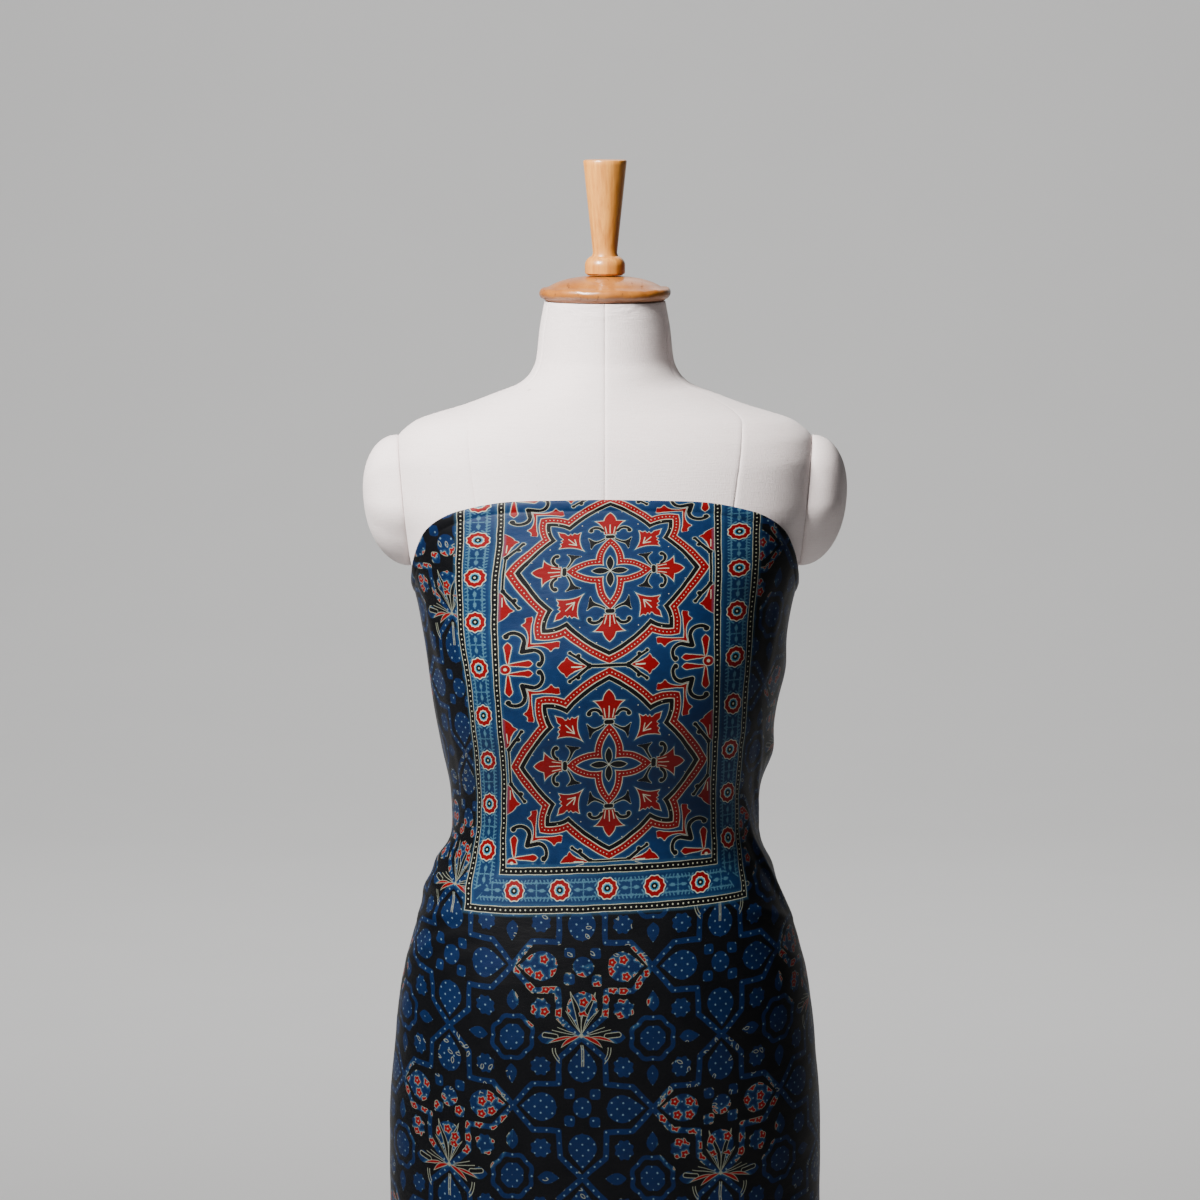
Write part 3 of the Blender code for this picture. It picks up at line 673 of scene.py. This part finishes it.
# Across, down, slope in degrees, half length, half width and height of each drag line, in millimetres
DRAG_LINES = (
    (-168, 60, 76, 55, 6, 1.1), (-190, 105, 84, 70, 6.5, 1.2),
    (-152, 175, 82, 60, 6, 0.7), (-152, 292, 34, 30, 6, 2.2),
    (-166, 318, 20, 40, 6.5, 2.7), (-160, 348, 4, 42, 6.5, 2.4),
    (-175, 385, -16, 50, 7, 1), (162, 70, 100, 50, 6, 0.9),
    (178, 190, 66, 55, 6.5, 1.3), (166, 262, 58, 45, 6.5, 2.1),
    (160, 318, -18, 42, 6.5, 2.3), (168, 352, -4, 40, 6.5, 1.4),
    (150, 392, 14, 50, 7, 0.9), (10, 300, 4, 85, 8.5, 0.4),
    (-40, 452, -3, 110, 10, 0.6), (60, 530, 4, 100, 11, 0.5),
)
over = columns[None, :]
for over_at, drop_at, slope, half_length, half_width, high in DRAG_LINES:
    turn = math.radians(slope)
    out_u, out_v = over * 1000 - over_at, drop * 1000 - drop_at
    along = (out_u * math.cos(turn) + out_v * math.sin(turn)) / half_length
    beside = (out_v * math.cos(turn) - out_u * math.sin(turn)) / half_width
    ridge = np.exp(-(beside**2)) - 0.45 * np.exp(-((beside - 1.6) ** 2))
    proud = proud + high / 1000 * np.exp(-(along**2)) * ridge
loose = np.sin(over * 96 + 3.1 * np.sin(drop * 17)) * np.sin(drop * 61 + 2.3 * np.sin(over * 23))
proud = proud + 0.00028 * loose * fade(drop, 0.01, 0.05)
cloth_rows = cloth_rows + normals * np.broadcast_to(proud, down.shape)[..., None]

cloth_bm = bmesh.new()
flat_uv = cloth_bm.loops.layers.uv.new("flat_cloth")
panel_uv = cloth_bm.loops.layers.uv.new("panel_print")
last_row, last_column = len(shares) - 1, len(columns) - 1
grid = bmesh.ops.create_grid(cloth_bm, x_segments=last_column, y_segments=last_row, size=0.5)["verts"]
spots = {}
for vert in grid:
    spots[vert] = (round((0.5 - vert.co.y) * last_row), round((vert.co.x + 0.5) * last_column))
# Where the printer set the panel's blocks: how far down each level of the design landed, and, in
# millimetres, where the bands and the panel's middle landed across at distances down the cloth
PANEL_WARP = ((-0.010, -0.1785), (0.0, -0.1645), (0.0301, -0.1232), (0.0584, -0.0850), (0.0924, -0.0468))
PANEL_WARP += ((0.1362, 0.0), (0.2212, 0.0850), (0.3039, 0.1677), (0.40, 0.264), (0.50, 0.364))
BAND_PLACES = (
    (0, -120, -85, 4.2, 92.5, 126.2), (31, -121, -86.2, 4.2, 93, 126.8),
    (70, -125, -91.5, 4.2, 93.8, 128), (110, -126.5, -93, 3.8, 94.5, 127.6),
    (140, -123.4, -93, 3.5, 95.3, 128), (187, -120, -90.6, 3.2, 95.8, 128.8),
    (234, -118.8, -88, 3, 96, 128.8), (281, -118, -88.4, 3.4, 96, 127),
    (340, -120, -87.5, 3.6, 95.2, 122.8), (500, -120, -87.5, 3.6, 95.2, 122.8),
)
across = np.broadcast_to(over, down.shape)
panel_down = smooth_curve(*zip(*PANEL_WARP), down) + 0.045 * (across - 0.003)
band_rows = np.array(BAND_PLACES) / 1000
landed = [smooth_curve(band_rows[:, 0], band_rows[:, k], down) for k in range(1, 6)]
DESIGN_ACROSS = (-0.1215, -0.0915, 0.0, 0.0915, 0.1215)
stretches = [
    low_to + (high_to - low_to) * (across - low) / (high - low)
    for low, high, low_to, high_to in zip(landed, landed[1:], DESIGN_ACROSS, DESIGN_ACROSS[1:])
]
panel_across = np.select([across < mark for mark in landed[1:4]], stretches[:3], stretches[3])
for face in cloth_bm.faces:
    for loop in face.loops:
        row, column = spots[loop.vert]
        loop[flat_uv].uv = (columns[column], down[row, column])
        loop[panel_uv].uv = (panel_across[row, column], panel_down[row, column])
for vert, (row, column) in spots.items():
    vert.co = cloth_rows[row, column]
bmesh.ops.recalc_face_normals(cloth_bm, faces=cloth_bm.faces)
outward_faces = sum(f.normal.dot(f.calc_center_median() * Vector((1, 1, 0))) for f in cloth_bm.faces)
if outward_faces < 0:
    bmesh.ops.reverse_faces(cloth_bm, faces=cloth_bm.faces)


def dye(red, green, blue):
    """A dye's colour from its screen value, 0 to 255, as the shader reads it."""
    shares = [c / 255 for c in (red, green, blue)]
    return tuple(((c + 0.055) / 1.055) ** 2.4 if c > 0.04 else c / 12.92 for c in shares)


INDIGO_PANEL, INDIGO_BORDER, INDIGO_FIELD = dye(5, 32, 66), dye(7, 34, 66), dye(3, 24, 58)
BLED_BLUE, SPECK_BLUE, RING_BLUE = dye(36, 74, 100), dye(78, 102, 116), dye(40, 104, 132)
CREAM, FIELD_CREAM = dye(164, 166, 144), dye(110, 114, 100)
MADDER_RED, IRON_BLACK = dye(106, 0, 4), dye(4, 4, 6)


def reach(place):
    """Distance from the origin."""
    return place.vector("LENGTH", out=1)


def away(place, x, y):
    """Distance from a point."""
    return place.vector("DISTANCE", (x, y, 0), out=1)


def circle_of(*points):
    """Centre and radius of the circle through three points."""
    first, second, third = [complex(*point) for point in points]
    lean = (third - first) / (second - first)
    centre = first + (second - first) * (lean - abs(lean) ** 2) / (2j * lean.imag)
    return centre.real, centre.imag, abs(first - centre)


def within_arc(place, *points):
    """Negative inside the circle through three points."""
    x, y, radius = circle_of(*points)
    return away(place, x, y) - radius


def beyond_arc(place, *points):
    """Negative outside the circle through three points."""
    return within_arc(place, *points) * -1.0


def past_line(place, start, end):
    """Negative on the left of the line from start to end."""
    along = math.hypot(end[0] - start[0], end[1] - start[1])
    right = ((end[1] - start[1]) / along, (start[0] - end[0]) / along)
    return place.vector("DOT_PRODUCT", (*right, 0), out=1) - (right[0] * start[0] + right[1] * start[1])


def bar(place, start, end):
    """Distance from a straight bar's middle line."""
    run = (end[0] - start[0], end[1] - start[1])
    square = run[0] ** 2 + run[1] ** 2
    share = place.vector("DOT_PRODUCT", (run[0] / square, run[1] / square, 0), out=1)
    share = share.math("ADD", -(start[0] * run[0] + start[1] * run[1]) / square, clamp=True)
    return place.vector("DISTANCE", share.vector("MULTIPLY_ADD", (*run, 0), (*start, 0)), out=1)


def bow(place, width, *points):
    """A curved stroke through three points, cut off behind the straight line of its ends."""
    x, y, radius = circle_of(*points)
    stroke = abs(away(place, x, y) - radius) - width
    start, middle, end = points
    side = (end[0] - start[0]) * (middle[1] - start[1]) - (end[1] - start[1]) * (middle[0] - start[0])
    return most(stroke, past_line(place, start, end) if side > 0 else past_line(place, end, start))


def least(*fields):
    """The union of shapes."""
    return functools.reduce(lambda one, other: one.math("MINIMUM", other), fields)


def most(*fields):
    """The part that all shapes share."""
    return functools.reduce(lambda one, other: one.math("MAXIMUM", other), fields)


def graph(value, *knots):
    """A drawn curve's height above a value."""
    return value.node("ShaderNodeFloatCurve", {"Factor": 1.0, "Value": value}, curves=[knots])


def pair(x, y):
    """Two numbers as one place."""
    return (x if isinstance(x, Wire) else y).node("ShaderNodeCombineXYZ", {0: x, 1: y})


def printed(field, edge=0.16):
    """1 inside a shape and 0 outside it, with a soft edge as printed dye has."""
    return field.line(-0.5 / edge, 0.5, clamp=True)


def parts(place):
    """The two numbers of a place."""
    split = place.node("ShaderNodeSeparateXYZ", {0: place})
    return split, Wire(split.socket.node.outputs[1])


def turn_of(place):
    """The angle of a place round the origin."""
    x, y = parts(place)
    return y.math("ARCTAN2", x)


def lobes(place, count):
    """A wave from -1 to 1 round the origin, with so many crests."""
    return (turn_of(place) * count).math("COSINE")


def run_round(place, points):
    """Length along the circle through three points to the place abreast of it."""
    x, y, radius = circle_of(*points)
    return turn_of(place.vector("SUBTRACT", (x, y, 0))) * radius


def dots_on(run, spacing, across, radius):
    """Round dots at a spacing along a run; across is the distance from their line."""
    return reach(pair(run.math("PINGPONG", spacing / 2), across)) - radius


def layers(tone, *printings):
    """Prints shapes in turn over a tone; each has a field, a colour and at times an edge."""
    for field, colour, *edge in printings:
        tone = blend(printed(field, *edge), tone, colour)
    return tone


def mottled(colour, low, high):
    """A dye that took unevenly, between two shares of its colour."""
    return blend(mottle, tuple(c * low for c in colour), tuple(c * high for c in colour))


silk, silk_shader, silk_place = start_finish(
    "ajrakh_silk_print", Sheen_Weight=0.01, Sheen_Roughness=0.35, Specular_IOR_Level=0.16
)
flat = silk_place.node("ShaderNodeUVMap", uv_map="flat_cloth")
panel = silk_place.node("ShaderNodeUVMap", uv_map="panel_print")

# Hand-block wobble, in millimetres
wobble = flat.node("ShaderNodeTexNoise", {"Vector": flat, "Scale": 60.0, "Detail": 2.0}, 1)
wobble = wobble.vector("MULTIPLY_ADD", (1.5, 1.5, 0), (-0.75, -0.75, 0))
flat_mm = flat.vector("MULTIPLY_ADD", (1000, 1000, 0), wobble)
panel_mm = panel.vector("MULTIPLY_ADD", (1000, 1000, 0), wobble)
panel_x, panel_y = parts(panel_mm)
side_x = abs(panel_x)
ragged = cloudy(flat_mm, 0.7, 2.0, 0.5).line(0.5, -0.25)

# Panel tile, 172 mm square in the design and the same in all its eight parts. The blocks landed
# close across the medallions and wide at the panel's sides.
TILE = 86.0
tile_x = side_x * 1.048 - (side_x - 66.0).math("MAXIMUM", 0) * 0.189
tile_y = (panel_y - 85.0).math("PINGPONG", 85.0) * (TILE / 85.0)
far, near = tile_x.math("MAXIMUM", tile_y), tile_x.math("MINIMUM", tile_y)
tile = pair(far, near)

petal_arc = ((84.8, 0), (76.4, 15.6), (59.2, 37.0))
side_arc = ((59.2, 37.0), (62.0, 49.5), (60.8, 60.8))
medallion_tip = within_arc(tile, *petal_arc)
medallion_side = within_arc(tile, *side_arc)
medallion = least(medallion_tip, medallion_side)
star_arc = ((36.8, 0), (26, 8.6), (12.2, 12.2))
star = within_arc(tile, *star_arc)

tulip = most(
    least(within_arc(tile, (65.8, 0), (60.5, 4.6), (52, 5.6)),
          most(beyond_arc(tile, (40.2, 5.2), (47.5, 6.6), (56.2, 13.9)),
               past_line(tile, (57.0, 4.1), (56.2, 13.9)))),
    40.4 - far,
    near - 15.0,
)
leaf_edge = graph(near, (23, 44), (26, 43.9), (29, 42.4), (31, 43.2), (33, 41.4), (34.5, 42.7), (36, 41),
                  (39, 43.4), (43, 44.6), (46.5, 45.9))
leaf = most(beyond_arc(tile, (21.3, 21.3), (34, 26.0), (44.5, 24.8)), far - leaf_edge, 21.2 - near)
bracket_left = graph(near, (39, 66), (40.3, 63.4), (48, 63.6), (56, 64.1), (66, 64.0), (72, 64.0))
bracket_right = graph(near, (39, 62), (40.3, 64), (41.3, 69.2), (43.8, 69.2), (45.5, 70.0), (47.5, 72.0),
                      (50, 69.8), (54, 67.7), (58, 67.0), (62, 67.0), (66, 67.8), (72, 69.2))
bracket = most(bracket_left - far, far - bracket_right)
ribbon_half = graph(near, (61.5, -1), (63, 0.8), (66, 3.1), (70, 2.7), (75, 2.0), (79, 1.5), (82, 0.6))
ribbon = abs(far - 81.9) - ribbon_half
flower_far = away(pair(tile_x, tile_y), 84.0, 86.0)
flower_knot = flower_far - 4.4
bud_half = graph(near, (18, -1), (19.5, 1), (25, 3), (30, 5.2), (33, 7.4), (34.3, 9), (35.6, 8),
                 (36.8, 5.9), (38.6, 4.9), (40.4, 3.2), (42.6, 0.4), (43.6, -1.2))
bud = (TILE - far) - bud_half
red_shapes = least(tulip, leaf, bracket, ribbon, flower_knot, bud) + 0.5
medallion_band, star_band = abs(medallion + 3.2), abs(star + 3.2)
past_tile = panel_y - 170.4
red = most(least(red_shapes, least(medallion_band, star_band) - 2.7), past_tile)

leg_left = graph(near, (3, 35.3), (6, 33.3), (9, 31.7), (12, 30.2), (14, 28.4), (15.2, 25.8),
                 (16.1, 24.4), (16.8, 25.4), (17.3, 29.6), (18.1, 33.4), (19.2, 37))
leg_right = graph(near, (3, 37.2), (6, 35.4), (9, 33.9), (12, 33.1), (14, 33.4), (16, 34.6),
                  (18.9, 36.4), (20.2, 33))
leg = most(leg_left - far, far - leg_right, 4.0 - near)
curl = least(bow(tile, 1.4, (43.5, 6.2), (48.4, 11.6), (46.0, 17.0)), away(tile, 45.1, 16.7) - 2.0)
cross = within_arc(tile, (15.6, 0), (8.6, 2.9), (0.8, 0))
knot = bar(tile, (37.9, 0), (37.9, 2.2)) - 1.9
hook = least(
    bar(tile, (71.6, 71.6), (69.9, 63.2)) - 1.8,
    most(bow(tile, 1.6, (69.9, 62.6), (74.3, 55.4), (83.6, 57.2)), near - 64.0),
    away(tile, 82.7, 57.4) - 2.2,
)
spindle = least(bar(tile, (85.6, 0), (85.6, 15.2)) - 0.9, away(tile, 85.4, 16.4) - 1.9)
sprout = least(bar(tile, (84.8, 17.5), (79.2, 24.6)) - 1.45, bar(tile, (79.2, 24.6), (74.6, 31.6)) - 1.15,
               away(tile, 77.0, 25.2) - 1.9, away(tile, 74.0, 32.2) - 1.6)
black = most(least(abs(medallion + 8.4) - 1.8, leg, curl, cross, knot, hook, spindle, sprout), past_tile)

tip_run = run_round(tile, petal_arc)
on_side = medallion_tip.math("GREATER_THAN", medallion_side)
edge_run = tip_run + on_side * (near - tip_run)
cream = least(
    dots_on(edge_run, 3.3, medallion_band, 0.42),
    dots_on(run_round(tile, star_arc), 3.2, star_band, 0.42),
    flower_far - 1.3,
    *[bar(tile, start, end) - width for start, end, width in (
        ((42, 0), (51.5, 0), 0.34), ((42, 3), (49.2, 4.3), 0.32), ((28.9, 29), (35.6, 30.6), 0.36),
        ((28.9, 28.9), (36.2, 36.2), 0.34), ((85.8, 22.5), (85.8, 30.5), 0.32),
        ((84.2, 22), (82.2, 28.5), 0.28),
    )],
    *[away(tile, x, y) - radius for x, y, radius in (
        (0, 0, 0.9), (51.5, 24.5, 0.45), (66.0, 10.5, 0.4), (53.5, 45.0, 0.4),
    )],
)

mottle = cloudy(flat_mm, 0.045, 4.0, 0.65)
threads = cloudy(stretched(flat_mm, 3.2, 0.5, 0), 1.0, 1.0, 0.5)
outlined = least(red, black + 0.15) + ragged
panel_tone = mottled(INDIGO_PANEL, 0.5, 1.55)
panel_tone = blend(outlined.line(-0.5, 1.2, clamp=True) * 0.5, panel_tone, BLED_BLUE)
panel_tone = layers(
    panel_tone,
    (outlined - 0.5, CREAM),
    (red + ragged, MADDER_RED),
    (black + ragged * 0.7, IRON_BLACK),
    (cream + ragged * 0.5, CREAM),
)

# Border: two black bands with dots, and a lighter blue strip between with rosettes and sprigs
STRIP_MIDDLE, STRIP_HALF, ROSETTE_HALF_STEP = 106.5, 15.0, 20.15
row_up = (panel_y - 193.1) * (29.9 / 32.3) + STRIP_MIDDLE
in_row = row_up.math("GREATER_THAN", side_x)
strip_column = pair(side_x - 108.0, panel_y + 1.5)
strip_row = pair(panel_y - 193.1, (panel_x + 1.9) * 1.025)
strip = in_row.node("ShaderNodeMix", {0: in_row, 4: strip_column, 5: strip_row}, 1, data_type="VECTOR")
strip_across, strip_along = parts(strip)
from_panel = side_x.math("MAXIMUM", row_up)
corner = side_x.math("MINIMUM", row_up).math("GREATER_THAN", 93.0)
rosette_along = strip_along.math("PINGPONG", ROSETTE_HALF_STEP)
rosette_place = pair(rosette_along + corner * 40.0, strip_across)
rosette = reach(rosette_place) * lobes(rosette_place, 10.0).line(-0.05, 1.03)
along_sprig = ROSETTE_HALF_STEP - rosette_along
off_sprig = abs(strip_across)
twigs = (along_sprig + off_sprig * 0.35).math("PINGPONG", 1.6) - 0.5
sprigs = least(
    most(abs(off_sprig - 6.2) - 0.5, along_sprig - 11.5),
    most(twigs, 5.2 - off_sprig, off_sprig - 8.9, along_sprig - 11.0),
    most(along_sprig - 0.4, off_sprig - 7.4),
    reach(pair((along_sprig - 4.8) * 0.62, strip_across)) - 1.5,
    most(off_sprig - 0.35, along_sprig - 8.0),
    bar(pair(along_sprig, off_sprig), (9.5, 2.6), (13.5, 8.2)) - 0.6,
)
border_tone = mottled(INDIGO_BORDER, 0.6, 1.45)
border_tone = blend(printed(sprigs + ragged * 3.0, 0.35) * 0.7, border_tone, dye(66, 106, 122))
rosette_ramp = (rosette + ragged * 0.8) * 0.1
rosette_rings = rosette_ramp.node("ShaderNodeValToRGB", {0: rosette_ramp}, stops=[
    (0.075, CREAM), (0.105, IRON_BLACK), (0.275, IRON_BLACK), (0.30, RING_BLUE),
    (0.395, RING_BLUE), (0.42, CREAM), (0.475, CREAM), (0.50, MADDER_RED),
    (0.855, MADDER_RED), (0.88, CREAM), (0.93, CREAM), (0.955, BLED_BLUE), (1.0, INDIGO_BORDER),
])
border_tone = layers(border_tone, (rosette - 10.0, rosette_rings, 0.5))

# The two bands lie the same distance either side of the strip
from_band = abs(abs(from_panel - STRIP_MIDDLE) - STRIP_HALF)
band_run = in_row.node("ShaderNodeMix", {0: in_row, 2: panel_y, 3: panel_x}, 0)
band_dots = dots_on(band_run, 4.4, from_band, 0.62)

# Field: a net of straps with drops, blobs and rings between, dotted all over
HALF = 59.6
REPEAT_ACROSS, REPEAT_DOWN = HALF / 58.3, HALF / 59.0
net_wobble = flat.node("ShaderNodeTexNoise", {"Vector": flat, "Scale": 21.0, "Detail": 1.0}, 1)
net_wobble = net_wobble.vector("MULTIPLY_ADD", (5.0, 5.0, 0), (-2.5, -2.5, 0))
net_scale, net_start = (REPEAT_ACROSS, REPEAT_DOWN, 0), (19.0 * REPEAT_ACROSS, -393.5 * REPEAT_DOWN, 0)
net_x, net_y = parts(flat_mm.vector("ADD", net_wobble).vector("MULTIPLY_ADD", net_scale, net_start))
fold_x, fold_y = net_x.math("PINGPONG", HALF), net_y.math("PINGPONG", HALF)
net_far, net_near = fold_x.math("MAXIMUM", fold_y), fold_x.math("MINIMUM", fold_y)
net = pair(net_far, net_near)
drop_half = graph(net_far, (20, -1), (21.3, 1), (22.5, 5.5), (26, 9.4), (31, 11.8), (35, 12.1), (40, 10.2),
                  (46, 5.8), (51, 1.6), (53, 0.2), (55, -1.5))
small_half = graph(net_near, (19, -1.5), (20.3, 0.5), (24, 3.2), (28, 4.9), (31.5, 4.8), (35, 2.6), (37, 0.3),
                   (38.5, -1.5))
ring_place = net.vector("SUBTRACT", (HALF, HALF, 0))
ring_far = reach(ring_place)
ring_lobes = lobes(ring_place, 8.0)
ring_dots = dots_on(turn_of(ring_place) * 17.8, 13.98, ring_far - 17.8, 0.8)
lobed_place = net.vector("SUBTRACT", (35.2, 35.2, 0))
box_place = net.vector("SUBTRACT", (11.2, 11.2, 0))
net_blue = least(
    away(net, 0, 0) - 8.4,
    reach(box_place.vector("MULTIPLY", box_place)).line(0.11, -2.2),
    net_near - drop_half,
    least(bar(net, (59.8, 0), (42, 19.6)), bar(net, (42, 19.6), (20.2, 20.2))) - 2.4,
    abs(ring_far + ring_lobes * 0.8 - 17.8) - 2.0,
    ring_far + ring_lobes * 0.3 - 10.8,
    reach(lobed_place) + lobes(lobed_place, 8.0) * 0.7 - 8.0,
    (HALF - net_far) - small_half,
)
speck = net.vector("MULTIPLY", (0.1, 0.1, 0)).vector("FRACTION")
speck = speck.vector("SUBTRACT", (0.5, 0.5, 0)).vector("ABSOLUTE")
specks = least(least(reach(speck), away(speck, 0.5, 0.5)) * 10.0 - 0.8, ring_dots)

# Posies on every other cell of the net: small red flowers, leaf outlines and gathered stems
column_index = (net_x * (0.5 / HALF) + 0.5).math("FLOOR")
posy_x = column_index.line(-2 * HALF, net_x)
posy_y = column_index.line(-2 * HALF, net_y).math("WRAP", 2 * HALF, -2 * HALF)
beside_posy = abs(posy_x)
posy = pair(beside_posy, posy_y)
posy_area = most(away(posy, 12, 16) - 46.0, 4.0 - posy_y - beside_posy * 0.45, posy_y - 53.0)
posy_area = posy_area + mottle * 10.0 - 5.0


def scattered(spacing):
    """Places measured from the nearest of many scattered centres, and that centre's own chance."""
    cells = {"Vector": flat_mm, "Scale": 1 / spacing, "Randomness": 0.6}
    centre = flat_mm.node("ShaderNodeTexVoronoi", cells, 2, voronoi_dimensions="2D")
    return flat_mm.vector("SUBTRACT", centre), Wire(centre.socket.node.outputs[1])


bloom_place = scattered(11.0)[0]
bloom_far = reach(bloom_place)
from_node = posy.vector("SUBTRACT", (0, 58.0, 0))
node_far = reach(from_node)
flower = bloom_far - lobes(bloom_place, 5.0).line(0.5, 3.2)
flower = most(flower, posy_area, 17.0 - node_far)
leaf_place, leaf_chance = scattered(7.5)
leaf_area = most(away(posy, 4, -10) - 56.0, posy_y - 24.0, posy_area * -1.0 - 0.5, leaf_chance * 10.0 - 4.2)
turning = {"Vector": leaf_place, "Angle": leaf_chance * 9.0}
leaf_half = leaf_place.node("ShaderNodeVectorRotate", turning, rotation_type="Z_AXIS").vector("ABSOLUTE")
leaf_outline = most(abs(away(leaf_half, 0, -2.1) - 3.3) - 0.3, leaf_area)
STEM_FAN = 0.21
stem_sway = (node_far * 0.13).math("SINE") * 0.07
stem_angle = abs(turn_of(from_node) + math.pi / 2 + stem_sway) + STEM_FAN
stem_leaf = stem_angle.math("PINGPONG", STEM_FAN) * node_far - (node_far * 0.083).math("SINE") * 1.9
stem_leaf = most(stem_leaf, node_far - 37.8, posy_y + beside_posy * 1.5 - 57.0)
side_leaf = bar(posy, (21.5, 58.8), (31.5, 57.4)) - 1.9
brush_lines = least(
    abs(stem_leaf) - 0.3,
    abs(side_leaf) - 0.32,
    bar(posy, (4, 57.6), (25, 53.6)) - 0.28,
    bar(posy, (5, 56.2), (20, 51.2)) - 0.25,
    most(abs(abs(away(posy, 8, 69) - 15.4) - 1.2) - 0.36, 68.0 - posy_y, 19.0 - beside_posy),
    bar(posy, (0.8, 66), (0.8, 84)) - 0.42,
    away(posy, 0, 58) - 1.6,
)
stripe = least(
    bow(posy, 1.5, (4, 60.0), (9.5, 61.6), (14, 65.6)),
    bow(posy, 1.0, (11, 59.8), (17.5, 60.4), (23, 62.6)),
)

halo = least(flower, stripe).line(-0.5, 1.3, clamp=True) * 0.6
red_mark = least(most(flower, net_blue), stripe) + ragged * 0.5
blue_tone = layers(mottled(INDIGO_FIELD, 0.66, 1.28), (specks + ragged * 0.5, SPECK_BLUE, 0.22))
blue_tone = layers(blend(halo, blue_tone, BLED_BLUE), (leaf_outline + ragged * 0.5, FIELD_CREAM))
field_tone = layers(
    mottled(IRON_BLACK, 0.7, 1.3),
    (net_blue + ragged * 1.2, blue_tone, 0.25),
    (least(stem_leaf, side_leaf), IRON_BLACK),
    (brush_lines + ragged * 0.6, FIELD_CREAM),
    (red_mark - 0.5, FIELD_CREAM),
    (red_mark, MADDER_RED),
    (most(bloom_far - 0.75, flower, net_blue), FIELD_CREAM),
)

# The panel and strip lie over the field, and the bands over the joins between them: each has a
# bled edge, a resist line, black and dots
tone = layers(
    field_tone,
    (from_panel - 91.5, panel_tone),
    (abs(from_panel - STRIP_MIDDLE) - STRIP_HALF, border_tone),
)
bled = (from_band + ragged).line(-0.4, 2.3, clamp=True)
tone = layers(
    blend(bled * 0.45, tone, BLED_BLUE),
    (from_band + ragged - 2.9, CREAM),
    (from_band + ragged * 0.6 - 2.5, IRON_BLACK),
    (band_dots + ragged * 0.5, CREAM),
)
tone = blend(threads * 0.025, tone, dye(60, 72, 84))
crumple = cloudy(stretched(flat, 26.0, 70.0, 0), 1.0, 4.0, 0.55)
weave = cloudy(stretched(flat, 2600.0, 900.0, 0), 1.0, 1.0, 0.5)
height = crumple + weave * 0.10
dress(silk_shader, Base_Color=tone, Roughness=mottle.line(0.16, 0.40), Normal=bumped(height, 0.35, 0.0016))
cloth = new_object("ajrakh_silk_cloth", cloth_bm, silk, 0)
cloth.data.shade_smooth()
thickness = cloth.modifiers.new("thickness", "SOLIDIFY")
thickness.thickness = CLOTH_THICKNESS
thickness.offset = 0.0
thickness.use_even_offset = False
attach(cloth, "root")
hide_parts("ajrakh_cloth")
